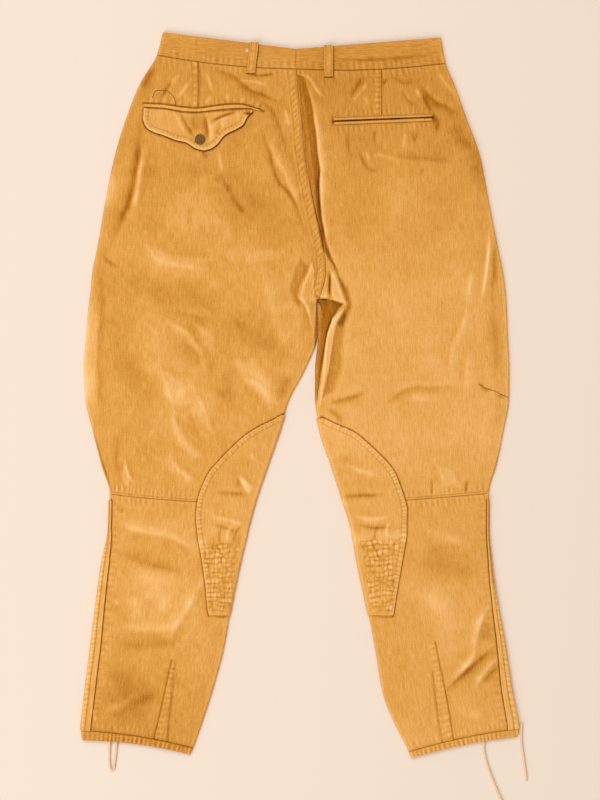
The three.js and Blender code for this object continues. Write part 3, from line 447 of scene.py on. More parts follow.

# Creases: width on the left hand and on the right hand of the line, height, how much paler or deeper the
# cloth is drawn there, line. The tone is mostly painted light and shade: highlights on crests, shade in
# troughs, broad pools of light and dusk; the white fleck is a mark of the cloth. Downwards the left hand is
# +X.
# A negative height is a trough.
creases = {
    "seat fold": (11, 1.6, 2.31, 0.14, [(6, 445), (8.5, 436), (15.5, 413.5), (22.5, 371.5), (27.5, 322.5),
        (29.5, 270.5), (35, 224.5), (43.5, 196.5), (53.5, 172.5)]),
    "seat fold foot": (1, 2.6, -0.5, -0.26, [(21, 371), (26, 322), (28, 270), (33, 226), (41, 198),
        (50, 176), (59, 156), (67, 136), (68, 122)]),
    "seat twist": (3, 2, 1.2, 0.16, [(-3, 444), (6, 447), (14, 441), (25, 425), (37, 413)]),
    "crotch crest": (3, 1.6, 1.2, 0.08, [(12, 176), (4, 157), (-1, 137), (7, 124), (13, 110), (18, 89)]),
    "pouch edge": (1.4, 3, 1.2, 0.08, [(41, 187), (48, 170), (55, 157), (64, 127)]),
    "pouch groove": (1.3, 1.3, -1.2, -0.4, [(40, 172), (41, 155), (41, 136)]),
    "pouch hem": (1.3, 1.2, 1, 0.14, [(42, 137), (53, 131), (65, 127)]),
    "seam end line": (1.2, 1.2, -0.8, -0.4, [(20, 141), (28, 134), (40, 135.5)]),
    "inseam roll": (1.4, 1.8, 1.2, 0.1, [(63, 124), (48, 107), (41, 84), (37, 60), (34, 33), (29, 3),
        (26, -16)]),
    "roll edge": (1, 1, -0.5, -0.3, [(60, 124.5), (44, 106.5), (36.5, 77.5), (29, 29.5), (23, -10)]),
    "thigh tuck": (3, 7, -1, -0.18, [(37, -11), (63, -5), (80, 0), (91, 7)]),
    "patch tuck": (5, 5, -0.8, -0.25, [(34, -18), (49, -25), (63, -40)]),
    "right thigh arc": (3, 9, -0.8, -0.09, [(116, -25), (123, -11), (140, 2), (157, 9), (182, 10),
        (210, 12), (227, 7)]),
    "right thigh lip": (9, 4, 0.63, 0.07, [(151, -4), (185, -7)]),
    "right side ridge": (12, 3, 0.91, 0.07, [(237, 133), (228, 98), (214, 70), (210, 42), (213, 24)]),
    "right side ridge low": (9, 3, 0.7, 0.06, [(234, 63), (234, 28), (231, 7)]),
    "right nick": (2.2, 2.2, -0.8, -0.18, [(272, 3), (280, -2), (290, 2)]),
    "right nick inner": (2.2, 2.2, -0.8, -0.14, [(249, 17), (261, 7), (269, 10)]),
    "right knee nick": (2, 2, -0.9, -0.2, [(185, -114), (185, -141)]),
    "right knee nick outer": (2, 2, -0.7, -0.14, [(233, -116), (231, -138)]),
    "left inner ridge": (20, 9, 0.91, 0.07, [(-53, 187), (-42, 133), (-21, 77), (-10, 42)]),
    "left thigh ridge": (3, 10, 0.84, 0.08, [(-196, 111), (-175, 98), (-157, 87), (-140, 63), (-131, 35)]),
    "left thigh trough": (3, 9, -0.63, -0.06, [(-171, 77), (-147, 61), (-138, 33)]),
    "left thigh trough high": (3, 9, -0.49, -0.04, [(-179, 117), (-140, 108), (-119, 98)]),
    "left thigh ridge long": (3, 12, 0.77, 0.06, [(-207, 70), (-199, 49), (-189, 24), (-179, -7),
        (-171, -42), (-154, -70), (-136, -88)]),
    "left thigh ridge inner": (3, 12, 0.77, 0.06, [(-154, 21), (-140, -7), (-126, -42), (-112, -70)]),
    "left thigh trough long": (3, 10, -0.56, -0.04, [(-161, 7), (-151, -35), (-133, -70)]),
    "left inner hook": (3, 8, 0.84, 0.09, [(-82, 24), (-63, 19), (-49, 7), (-35, -23)]),
    "left inner hollow": (9, 9, -0.7, -0.09, [(-14, 33), (-24, 7), (-28, -9)]),
    "left thigh hollow": (12, 12, -0.56, -0.06, [(-122, 14), (-98, -7), (-84, -35)]),
    "left knee ridge": (3, 8, 0.91, 0.11, [(-185, -74), (-175, -98), (-154, -116), (-143, -130)]),
    "left knee trough": (3.5, 3.5, -1.12, -0.12, [(-252, -56), (-257, -84), (-253, -116), (-262, -130)]),
    "left knee lip": (2.5, 2.5, 1, 0.13, [(-246, -91), (-238, -112), (-229, -127)]),
    "left side trough": (6, 6, -1.8, -0.22, [(-203, 462), (-213, 441), (-220, 425)]),
    "left side trough low": (5, 7, -1.3, -0.18, [(-217, 399), (-221, 385), (-225, 343), (-231, 308),
        (-241, 266), (-255, 231), (-269, 203)]),
    "left side ridge": (4, 5, 2, 0.16, [(-215, 349), (-224, 308), (-229, 273), (-234, 250)]),
    "left edge light": (9, 9, 0.6, 0.18, [(-259, 315), (-266, 287), (-274, 257)]),
    "left kink": (2, 3, -0.84, -0.1, [(-274, 196), (-263, 185), (-252, 178)]),
    "left pocket ridge": (4, 4, 0.8, 0.08, [(-164, 451), (-173, 441), (-182, 430)]),
    "dart fold": (2, 4, 1.2, 0.12, [(-134, 452), (-127, 444), (-120, 420)]),
    "under band crease a": (1.5, 3, -0.9, -0.16, [(-78, 453), (-66, 448), (-48, 447), (-30, 449)]),
    "under band crease b": (1.5, 3, 0.9, 0.1, [(-92, 436), (-76, 440), (-58, 437), (-44, 432)]),
    "left hip crease a": (2, 4, -0.9, -0.14, [(-176, 440), (-186, 426), (-194, 412)]),
    "left hip crease b": (2, 4, 0.8, 0.1, [(-152, 440), (-160, 428), (-172, 412)]),
    "right fan a": (2, 3, -0.7, -0.12, [(142, 428), (150, 414), (162, 404)]),
    "right fan b": (2, 3, 0.8, 0.1, [(96, 440), (88, 426), (72, 408)]),
    "right hip fold": (5, 2.5, 1, 0.1, [(188, 456), (200, 440), (216, 420), (224, 404)]),
    "dart fold low": (3, 3, 0.9, 0.1, [(-122, 419), (-130, 406)]),
    "dart fold inner": (4, 4, 1, 0.1, [(-98, 425), (-103, 411)]),
    "seat drag": (3, 6, -1.12, -0.15, [(-136, 458), (-119, 455), (-98, 448), (-87, 441), (-75, 430),
        (-64, 422), (-53, 420), (-33, 411), (-18, 401)]),
    "seat drag lower": (3, 6, -0.84, -0.13, [(-70, 418), (-53, 409), (-39, 398), (-28, 371), (-21, 353),
        (-10, 322)]),
    "seat drag light": (4, 4, 1.3, 0.13, [(-22, 402), (-14, 371)]),
    "long drag": (3, 4, -1.2, -0.17, [(-53, 378), (-45, 343), (-31, 301), (-17, 285), (-4, 262), (9, 224)]),
    "long drag light": (8, 3, 1.2, 0.11, [(-52, 378), (-36, 336), (-14, 294), (4, 243)]),
    "flap tail": (3, 3, -0.8, -0.11, [(-137, 341), (-130, 329)]),
    "flap tail light": (4, 4, 0.9, 0.1, [(-112, 343), (-109, 308)]),
    "flap drag": (4, 4, -1, -0.11, [(-109, 304), (-101, 290), (-84, 262), (-70, 248)]),
    "left hollow high": (14, 14, -0.38, -0.03, [(-210, 325), (-207, 299)]),
    "left hollow low": (18, 18, -0.49, -0.04, [(-207, 262), (-210, 203)]),
    "left band light": (6, 18, 0.84, 0.09, [(-220, 217), (-210, 199), (-189, 187), (-154, 178),
        (-119, 175)]),
    "left short trough": (4, 4, -0.7, -0.09, [(-154, 266), (-154, 231)]),
    "left seat light": (20, 20, 0.63, 0.06, [(-98, 234), (-98, 187)]),
    "left seat light inner": (16, 16, 0.56, 0.06, [(-45, 206), (-43, 184)]),
    "right drag faint": (4, 4, -0.8, -0.12, [(87, 444), (81, 434), (70, 413)]),
    "right drag light": (3, 3, 0.8, 0.1, [(90, 420), (95, 402)]),
    "right dart nick": (2.5, 2.5, -0.8, -0.14, [(122, 443), (115, 433)]),
    "right arc": (3, 3, -0.72, -0.09, [(122, 443), (133, 443), (143, 436), (154, 436), (161, 441)]),
    "right deep drag": (3, 8, -1.05, -0.14, [(164, 440), (174, 425), (188, 409), (202, 404), (213, 397),
        (231, 391)]),
    "right inner drag": (3, 3, -1.2, -0.15, [(171, 423), (178, 406), (184, 395)]),
    "right drag crest": (3, 3, 1.1, 0.14, [(161, 430), (172, 413)]),
    "right pocket kink": (4, 4, -1.1, -0.16, [(186, 395), (192, 378), (189, 364)]),
    "right side hollow": (10, 10, -0.84, -0.13, [(214, 385), (221, 363), (233, 350), (245, 336)]),
    "pocket groove a": (3, 3, -0.56, -0.07, [(66, 371), (70, 329)]),
    "pocket groove b": (2.5, 2.5, -0.72, -0.09, [(81, 343), (87, 329), (94, 317), (105, 315), (115, 320)]),
    "pocket crest": (3, 3, 0.72, 0.06, [(93, 343), (98, 324)]),
    "pocket groove c": (2.5, 2.5, -0.8, -0.14, [(105, 371), (105, 350)]),
    "pocket crest long": (2.5, 2.5, 0.8, 0.12, [(147, 371), (147, 343)]),
    "pocket groove d": (2.5, 2.5, -0.7, -0.12, [(157, 371), (161, 356), (165, 371)]),
    "under pocket crest": (3, 3, 0.64, 0.06, [(102, 332), (112, 335), (126, 332), (137, 327)]),
    "under pocket groove": (8, 3, -0.63, -0.09, [(119, 338), (140, 334), (182, 329), (217, 325)]),
    "under pocket nick": (2, 2, -0.48, -0.07, [(174, 318), (168, 304)]),
    "right edge shade": (9, 9, -0.4, -0.13, [(241, 357), (252, 315), (259, 273)]),
    "right side crease": (3, 3, 1.8, 0.16, [(266, 234), (265, 210), (262, 187), (258, 154), (255, 133)]),
    "right side shade": (7, 2, -0.9, -0.16, [(273, 229), (272, 187), (268, 136)]),
    "right side light": (4, 4, 0.8, 0.1, [(242, 175), (233, 133)]),
    "right edge low shade": (9, 9, -0.3, -0.14, [(266, 133), (272, 77), (276, 21)]),
    "left outer light": (14, 9, 0.2, 0.25, [(-294, 150), (-299, 105), (-301, 63), (-298, -7), (-290, -49)]),
    "left outer shade": (7, 4, -0.5, -0.13, [(-276, 182), (-278, 105), (-280, 21), (-273, -42)]),
    "left knee crease": (3, 4, -1.1, -0.15, [(-119, -136), (-95, -137), (-70, -138)]),
    "left knee fold": (3, 3, 1.4, 0.16, [(-82, -113), (-75, -127), (-70, -137)]),
    "left knee fold high": (4, 4, 0.9, 0.1, [(-71, -79), (-61, -91)]),
    "left knee groove": (4, 5, -0.9, -0.12, [(-87, -107), (-84, -130)]),
    "left patch zigzag": (2, 5, 1.2, 0.08, [(-95, -112), (-87, -113), (-67, -128), (-76, -137)]),
    "left patch ridge": (3, 4, 0.84, 0.06, [(-128, -168), (-108, -172), (-86, -177), (-74, -186)]),
    "left patch dip": (3, 3, -0.8, -0.1, [(-126, -180), (-104, -185), (-84, -192)]),
    "left patch pull a": (2, 2.5, -1, -0.16, [(-110, -210), (-113, -196), (-108, -182)]),
    "left patch pull b": (2, 2.5, -0.9, -0.14, [(-94, -208), (-90, -192), (-80, -178)]),
    "left patch pull c": (2, 2, 0.9, 0.1, [(-102, -206), (-100, -190), (-93, -180)]),
    "right patch ridge": (3, 4, 1.1, 0.11, [(75, -166), (98, -172), (125, -170)]),
    "right patch dip": (3, 3, -1, -0.13, [(80, -180), (104, -186), (130, -182)]),
    "right patch pull a": (2, 2.5, -0.9, -0.14, [(106, -205), (104, -192), (110, -178)]),
    "right patch pull b": (2, 2.5, 0.9, 0.11, [(122, -200), (120, -188), (127, -174)]),
    "right patch high": (4, 5, 0.9, 0.09, [(60, -95), (84, -104), (112, -112)]),
    "right knee crease": (3, 4, -1.2, -0.2, [(58, -139), (84, -140), (115, -137)]),
    "right knee fold": (3, 2, 1.1, 0.16, [(48, -147), (62, -149), (69, -155)]),
    "right patch shade": (12, 12, -0.4, -0.1, [(63, -77), (70, -112)]),
    "left calf ridge": (14, 5, 1.54, 0.12, [(-255, -168), (-238, -183), (-210, -190), (-182, -197),
        (-154, -210), (-141, -217)]),
    "left calf trough": (14, 7, -1.01, -0.13, [(-255, -218), (-231, -228), (-196, -239), (-154, -247)]),
    "left calf nick": (4, 4, -1, -0.14, [(-255, -154), (-246, -165)]),
    "left calf fleck": (2.2, 2.2, 0.8, 0.14, [(-260, -284), (-253, -292)]),
    "left shin ridge": (14, 6, 1, 0.11, [(-255, -317), (-217, -326), (-182, -323), (-151, -315)]),
    "left shin trough": (14, 7, -0.92, -0.11, [(-263, -343), (-210, -350), (-154, -338)]),
    "left shin trough low": (16, 8, -0.77, -0.07, [(-255, -413), (-224, -427), (-189, -406)]),
    "left hem light": (7, 7, 0.8, 0.1, [(-274, -443), (-245, -429), (-224, -413)]),
    "right calf ridge": (4, 9, 1.9, 0.14, [(269, -281), (258, -301), (249, -327), (243, -350), (240, -368),
        (222, -388), (205, -408)]),
    "right calf dusk": (20, 20, -0.5, -0.11, [(163, -236), (205, -240), (255, -248)]),
    "right calf light": (20, 20, 0.8, 0.1, [(150, -268), (196, -298), (215, -345), (210, -385)]),
    "right calf low light": (7, 7, 0.6, 0.08, [(218, -432), (236, -446), (260, -440)]),
    "right edge seam": (1.1, 1.1, -0.5, -0.3, [(284, -58), (277.5, -88), (270, -112), (262, -137)]),
    "right calf trough": (9, 9, -0.91, -0.12, [(269, -317), (255, -343)]),
    "right shin trough": (7, 3, -1.8, -0.22, [(276, -350), (254, -366), (236, -384), (214, -404),
        (203, -415)]),
    "right shin ridge": (3, 6, 1.4, 0.12, [(277, -364), (262, -380), (250, -398), (246, -412)]),
    "right shin dip": (6, 2, -1, -0.13, [(279, -374), (266, -388), (254, -404)]),
    "right knee ridge": (9, 9, 0.84, 0.07, [(168, -175), (196, -196), (238, -210)]),
    "left lifted corner": (3, 2, 1.2, 0.16, [(-291, -435), (-287, -448), (-284, -457)]),
    "band roll": (2.5, 3, -0.5, -0.12, [(46, 469), (94, 468), (139, 471), (202, 477)]),
    "band seam": (0.7, 0.7, -0.3, -0.16, [(-5, 483), (-5, 455)]),
    "left edge seam": (1.1, 1.1, -0.5, -0.3, [(-288.5, -43), (-279.5, -77), (-270, -108), (-263, -134)]),
    "band crease": (1.2, 1.2, -0.3, -0.08, [(-145, 503), (-145, 467)]),
    "pocket end inner": (1, 1, 0.5, -0.34, [(46, 393), (46, 384), (45.5, 372)]),
    "pocket end outer": (1, 1, 0.5, -0.34, [(186.5, 397), (186.5, 388), (187, 376)]),
    "left calf light": (22, 22, 0.8, 0.13, [(-236, -242), (-193, -277), (-206, -312)]),
    "left calf diagonal": (4, 14, 1.08, 0.14, [(-132, -243), (-145, -277), (-176, -329), (-189, -364)]),
    "left calf dusk": (30, 30, -0.5, -0.17, [(-275, -366), (-245, -402), (-225, -440), (-215, -470)]),
    "white fleck": (1.5, 1.5, 0.3, 0.9, [(-74, 483), (-72.5, 480)]),
    "left patch foot": (1, 1, -0.4, -0.25, [(-130, -308.6), (-113, -308.6), (-94, -308.6)]),
    "right patch foot": (1, 1, -0.4, -0.25, [(136, -309), (118, -309), (98, -309)]),
    "left quilt pull a": (1.2, 2, -0.8, -0.2, [(-123, -236), (-119, -225), (-115, -212)]),
    "left quilt pull b": (1.2, 2, -0.8, -0.2, [(-114, -238), (-110, -228), (-106, -217)]),
    "left quilt pull c": (1.2, 1.6, -0.6, -0.18, [(-122, -250), (-119, -241)]),
    "left quilt pull d": (1.2, 1.6, -0.6, -0.18, [(-103, -249), (-99, -239)]),
    "right quilt pull a": (1.4, 1.4, -0.6, -0.16, [(86, -206), (90, -214)]),
    "right quilt pull b": (1.4, 1.4, -0.6, -0.16, [(102, -205), (105, -215)]),
    "right quilt pull c": (1.2, 1.4, -0.6, -0.16, [(127, -200), (131, -211)]),
    "left thigh dusk": (17, 17, -0.5, -0.11, [(-135, 128), (-96, 104), (-50, 75), (-11, 42)]),
    "left thigh dusk outer": (24, 24, -0.3, -0.07, [(-270, 112), (-250, 60), (-226, 8)]),
    "left thigh light low": (22, 22, 0.5, 0.1, [(-186, 34), (-155, -2), (-128, -46)]),
    "left knee light inner": (15, 15, 0.5, 0.1, [(-78, 48), (-54, 22), (-34, -12)]),
    "left thigh dusk low": (9, 9, -0.4, -0.08, [(-97, 58), (-98, 22), (-92, -14)]),
    "left seat glow": (24, 24, 0.5, 0.09, [(-188, 269), (-117, 237), (-75, 195), (-46, 160)]),
    "left seat dusk": (20, 20, -0.4, -0.09, [(-104, 296), (-46, 255), (2, 200)]),
    "left seat dusk low": (20, 20, -0.4, -0.07, [(-269, 177), (-188, 146), (-96, 131)]),
    "left hip dusk": (14, 14, -0.3, -0.05, [(-177, 322), (-82, 301)]),
    "left seat swell": (26, 26, 1, 0.03, [(-173.5, 322.5), (-154, 196.5)]),
    "right seat swell": (28, 28, 1, 0.03, [(147, 329.5), (129, 182.5)]),
    "left thigh swell": (24, 24, 1, 0.03, [(-210, 126.5), (-179, -6.5)]),
    "right thigh swell": (24, 24, 1, 0.03, [(196, 133.5), (175, 0.5)]),
    "left seat hollow": (20, 20, -0.7, -0.03, [(-98, 287.5), (-72.5, 147.5)]),
    "right seat hollow": (20, 20, -0.7, -0.03, [(73, 315.5), (87, 175.5)]),
    "left shin swell": (18, 18, 0.8, 0.03, [(-231, -272.5), (-224, -314.5)]),
    "right shin swell": (20, 20, 0.8, 0.03, [(182, -230.5), (196, -300.5)]),
}


# Faces of the big folds: how soft the edge is, height, how much paler or deeper, outline. The tone is
# painted light and shade: lit faces paler; the valley, hollows and strips in shadow darker.
facets = {
    "valley": (1.8, -1.0, -0.15, [(-4, 448), (6, 445), (8.5, 436), (15.5, 413.5), (22.5, 371.5),
        (27.5, 322.5), (29.5, 270.5), (35, 224.5), (43.5, 196.5), (54, 172), (42, 188), (31, 206),
        (19.5, 266), (8.5, 326), (3.5, 378), (0, 420)]),
    "valley floor": (5, -1.2, -0.05, [(3, 441), (8, 434), (15, 413.5), (22, 371.5), (27, 322.5),
        (29, 270.5), (34.5, 224.5), (43, 196.5), (40, 190), (29, 226), (24, 268), (17, 326), (12, 378),
        (6, 420)]),
    "crotch face": (1.6, 1.8, 0.05, [(17.5, 186), (5.5, 157), (0, 136), (7, 125), (12, 112.5), (19.5, 83),
        (23, 95), (22, 133.5), (18.5, 146.5), (21, 173)]),
    "crotch hollow": (8, -1.1, -0.1, [(2, 190), (-8, 172), (-13, 150), (-11, 134), (0, 122), (-2, 136),
        (4, 158), (12, 180)]),
    "pouch face": (1.5, 1.8, 0.02, [(40, 180), (53, 159), (65, 126.5), (53, 129.5), (44, 138), (43, 170)]),
    "pouch shade": (10, -1.2, -0.18, [(55, 163), (66, 128), (54, 100), (60, 98), (73, 124), (66, 150)]),
    "seam end": (1.4, 0.7, 0.02, [(17, 160), (18, 142), (26, 134.5), (38, 136), (38, 165), (30, 178)]),
    "front strip": (1.5, -0.8, -0.36, [(23, 134), (39.5, 134.5), (60.5, 129), (45, 108), (36.5, 77.5),
        (28, 29.5), (22, -13.5), (20, -6.5), (20, 56.5), (20, 91.5)]),
    "roll face": (1.3, 1.8, 0.04, [(65, 125.5), (45, 107), (37, 77.5), (29.5, 29.5), (22.5, -18),
        (29.5, -15), (40, 35.5), (46.5, 72.5), (51.5, 101.5)]),
    "thigh flake a": (13, 0.6, 0.07, [(-145, 98), (-121, 90), (-119, 58), (-137, 74)]),
    "thigh flake b": (13, 0.6, 0.08, [(-93, 46), (-65, 50), (-42, 18), (-30, -14), (-57, 2), (-77, 18)]),
    "thigh flake c": (13, 0.6, 0.07, [(-185, 30), (-165, 22), (-157, -10), (-169, -18), (-185, 2)]),
    "thigh flake d": (13, 0.6, 0.08, [(-177, -34), (-161, -58), (-137, -85), (-149, -89), (-173, -62)]),
    "thigh flake e": (13, 0.5, 0.06, [(-220, 66), (-201, 42), (-205, 22), (-220, 42)]),
    "knee flake": (5, 0.7, 0.1, [(-244, -89), (-236, -113), (-240, -129), (-250, -113)]),
    "seat flake": (9, 0.5, 0.06, [(-215, 210), (-180, 196), (-130, 190), (-150, 176), (-200, 184)]),
    "right knee flake": (7, 0.5, 0.06, [(190, -96), (212, -104), (226, -128), (200, -126)]),
    "roll shade": (9, -0.9, -0.17, [(63, 118), (52, 101), (47, 72), (40, 35), (33, 0), (46, 5), (58, 40),
        (60, 80), (66, 112)]),
}


# Which points lie in the box around a line, widened by reach.
def closeTo(line, x, y, reach):
    low, high = line.min(0) - reach, line.max(0) + reach
    return (x > low[0]) & (x < high[0]) & (y > low[1]) & (y < high[1])


# Height and tone that a table of creases, and the faces of folds, give to points of the layout; the tone is
# mostly painted light and shade.
def creaseField(table, x, y, flats=()):
    height, tone = np.zeros(np.shape(x)), np.zeros(np.shape(x))
    wander, size = creaseSet["wander"]
    uneven = 1 + creaseSet["uneven"] * softNoise(x, y, size, seeds["uneven crease"])
    plainX, plainY = x, y
    x, y = (x + wander * softNoise(x, y, size, seeds["wander x"]),
            y + wander * softNoise(x, y, size, seeds["wander y"]))
    for left, right, lift, paler, line in table.values():
        reach = 3 * max(left, right)
        near = closeTo(line, x, y, reach)
        if not near.any():
            continue
        away, side, along, total = nearLine(x[near], y[near], line)
        t = along / total
        taper = 0.15 + 0.85 * smoothStep(np.minimum(t, 1 - t) / creaseSet["fade"])
        shape = taper * uneven[near] * np.exp(-(away / np.where(side > 0, left, right)) ** creaseSet["point"])
        height[near] += lift * shape
        tone[near] += paler * shape
    x, y = (x + plainX) / 2, (y + plainY) / 2
    for soft, lift, paler, outline in flats:
        near = closeTo(outline, x, y, soft)
        if near.any():
            away = nearLine(x[near], y[near], outline)[0] * np.where(within(x[near], y[near], outline), 1, -1)
            shape = smoothStep(0.5 + away / soft)
            height[near] += lift * shape
            tone[near] += paler * shape
    return height, tone


def within(x, y, outline):
    inside = np.zeros(x.shape, bool)
    for (x0, y0), (x1, y1) in zip(outline[:-1], outline[1:]):
        if y0 != y1:
            inside ^= ((y0 > y) != (y1 > y)) & (x < x0 + (x1 - x0) * (y - y0) / (y1 - y0))
    return inside


# The same table with each line drawn as a smooth curve.
def drawn(table):
    return {name: (*facts, smoothLine(points, 6)) for name, (*facts, points) in table.items()}


creases = drawn(creases)
facets = [(*facts, np.array([*points, points[0]], float)) for *facts, points in facets.values()]


# Rows of one half: ends, lengths and folds.
def rowsOf(side, v):
    key = side[0]
    row = {name: columns[key + name](v) for name in ("ox", "oy", "ix", "iy")}
    row["bow"] = columns["bow" + key.upper()](v)
    for name in ("loft", "fork", "nose"):
        row[name] = columns[name](v)
    row["width"] = np.hypot(row["ix"] - row["ox"], row["iy"] - row["oy"])
    row["top"] = row["width"] - cloth["edgeHalf"] - row["nose"]
    row["outerArc"] = math.pi * cloth["edgeHalf"] + 0 * row["width"]
    row["innerArc"] = math.pi * (row["nose"] + cloth["edgeHalf"]) / 2
    row["round"] = 2 * row["top"] + row["innerArc"] + row["outerArc"]
    return row


def alongRow(row, s):
    u = s / row["width"]
    return (row["ox"] + (row["ix"] - row["ox"]) * u,
            row["oy"] + (row["iy"] - row["oy"]) * u + row["bow"] * 4 * u * (1 - u))


def topHeight(row, s):
    half = cloth["edgeHalf"]
    fromOuter, fromInner = s - half, row["width"] - s - row["nose"]

    def rise(reach):
        return smoothStep(fromOuter / reach) * (1 - row["fork"] * (1 - smoothStep(fromInner / reach)))

    folds = creaseField(creases, *alongRow(row, s), facets)[0]
    z = 2 * half + row["loft"] * rise(cloth["edgeReach"]) + folds * rise(cloth["foldReach"])
    floor = 2 * cloth["panel"] + 0.7
    return np.where(z > floor + 1, z, floor + np.exp(np.minimum(z - floor - 1, 0)))


# Points of the skin at q, the distance over the row from the top of its outer side fold.
def skinPoints(side, v, q):
    row = rowsOf(side, v)
    half = cloth["edgeHalf"]
    top, outerArc, innerArc, nose = (row[name] for name in ("top", "outerArc", "innerArc", "nose"))
    turn = row["width"] - nose
    at = np.where(q > 2 * top + innerArc, q - row["round"], q)
    outer = np.clip(-at / half, 0, math.pi)
    inner = np.clip(math.pi * (at - top) / innerArc, 0, math.pi)
    below = at < -outerArc
    beyond = at > top + innerArc
    s = np.select(
        [below, at < 0, at <= top, ~beyond],
        [half - outerArc - at, half - half * np.sin(outer), half + at, turn + nose * np.sin(inner)],
        turn - (at - top - innerArc),
    )
    z = np.select(
        [below | beyond, at < 0, at <= top],
        [0 * at, half + half * np.cos(outer), topHeight(row, np.clip(s, half, turn))],
        half + half * np.cos(inner),
    )
    x, y = alongRow(row, s)
    return np.stack([x, y, z], -1)


def outerSeamQ(row, turn):
    return np.select([turn > 1, turn < -1], [(turn - 1) * 10, -row["outerArc"] + (turn + 1) * 10],
                     -row["outerArc"] / 2 * (1 - turn))


def innerSeamQ(row, turn):
    top, arc = row["top"], row["innerArc"]
    return np.select([turn > 1, turn < -1], [top - (turn - 1) * 10, top + arc - (turn + 1) * 10],
                     top + arc / 2 * (1 - turn))


halfGap = 0.04  # sewn edges meet, so only a line shows between them


# Half the gap beside a long seam, eased where the seam climbs over a side fold.
def seamRoom(side, seam, row, v):
    turn = seamTurn(side, seam, v)
    climb = seamTurn(side, seam, v + 0.5) - seamTurn(side, seam, v - 0.5)
    onFold = (row["fork"] > 0.5) & (abs(turn) < 1.4)
    return halfGap + 0.42 * onFold * np.minimum(abs(climb), 1)


def backReach(side, row, v):
    return (outerSeamQ(row, seamTurn(side, "out", v)) + seamRoom(side, "out", row, v),
            innerSeamQ(row, seamTurn(side, "inner", v)) - seamRoom(side, "inner", row, v))


def frontReach(side, row, v):
    return (innerSeamQ(row, seamTurn(side, "front", v)) + seamRoom(side, "front", row, v),
            row["round"] + outerSeamQ(row, seamTurn(side, "out", v)) - seamRoom(side, "out", row, v))


def bandReach(side, row, v):
    return -row["outerArc"] - row["top"] + halfGap, row["top"] - halfGap


def placketReach(side, row, v):
    return (outerSeamQ(row, 0.05 + 0 * v),
            outerSeamQ(row, seamTurn(side, "out", v)) - seamRoom(side, "out", row, v))


# Row positions from one station to another, closer together near both ends, in an even number of steps.
def rowPlaces(side, start, end, spacing, startGap=None, endGap=None):
    fine = np.linspace(stationAt[start], stationAt[end], 500)
    row = rowsOf(side, fine)
    middle = np.stack([(row["ox"] + row["ix"]) / 2, (row["oy"] + row["iy"]) / 2], -1)
    run = walked(middle)
    first = halfGap if startGap is None else startGap
    last = run[-1] - (halfGap if endGap is None else endGap)
    s = np.linspace(first, last, 3000)
    away = np.minimum(s - first, last - s)
    size = meshSet["seam"] + (spacing - meshSet["seam"]) * smoothStep((away - meshSet["seamReach"]) / 12)
    steps = np.concatenate([[0], np.cumsum(np.diff(s) / size[1:])])
    count = 2 * math.ceil(steps[-1] / 2)
    return np.interp(np.interp(np.linspace(0, steps[-1], count + 1), steps, s), run, fine)


# Column positions on each row: dense on folds and near the edges, wide underneath.
def columnPlaces(row, q0, q1, spacing):
    samples = 500
    q0, reach = q0[:, None], (q1 - q0)[:, None]
    q = q0 + reach * (np.arange(samples) + 0.5) / samples
    top, innerArc, outerArc = row["top"][:, None], row["innerArc"][:, None], row["outerArc"][:, None]
    at = np.where(q > 2 * top + innerArc, q - row["round"][:, None], q)
    under = (at <= -outerArc) | (at >= top + innerArc)
    onFold = ~under & ((at < 0) | (at > top))
    away = np.minimum(q - q0, q0 + reach - q)
    size = meshSet["edge"] + (spacing - meshSet["edge"]) * smoothStep((away - meshSet["edgeReach"]) / 12)
    size = np.where(under, meshSet["under"], np.where(onFold, meshSet["fold"], size))
    total = np.concatenate([np.zeros((len(q0), 1)), np.cumsum(reach / samples / size, axis=1)], axis=1)
    edges = q0 + reach * np.arange(samples + 1) / samples
    count = 2 * round(total[:, -1].max() / 2)
    return np.array([np.interp(np.linspace(0, steps[-1], count + 1), steps, places)
                     for steps, places in zip(total, edges)])


def gridNormals(points):
    normal = np.cross(np.gradient(points, axis=0), np.gradient(points, axis=1))
    return normal / np.maximum(np.linalg.norm(normal, axis=2), 1e-9)[..., None]


# Normals of a stretch of skin, pointing out.
def skinNormals(side, points):
    return gridNormals(points) * (1 if side == "left" else -1)


# Normals of a layer that lies on the skin, pointing up.
def layerNormals(points):
    normals = gridNormals(points)
    return normals * np.sign(normals[..., 2].mean())


# flat keeps the points as they are before sewing relief is put on.
def asSheet(side, points, normals):
    return {"side": side, "flat": points, "points": points, "normals": normals}


def skinSheet(side, reach, v, spacing):
    row = rowsOf(side, v)
    q = columnPlaces(row, *reach(side, row, v), spacing)
    points = skinPoints(side, v[:, None], q)
    return asSheet(side, points, skinNormals(side, points))


def blurred(values, count, axis):
    for _ in range(2):
        padded = np.concatenate([np.repeat(np.take(values, [0], axis), count, axis), values,
                                 np.repeat(np.take(values, [-1], axis), count, axis)], axis)
        total = np.cumsum(padded, axis)
        size = 2 * count + 1
        total = np.concatenate([np.zeros_like(np.take(total, [0], axis)), total], axis)
        n = values.shape[axis]
        values = (np.take(total, range(size, size + n), axis) - np.take(total, range(n), axis)) / size
    return values


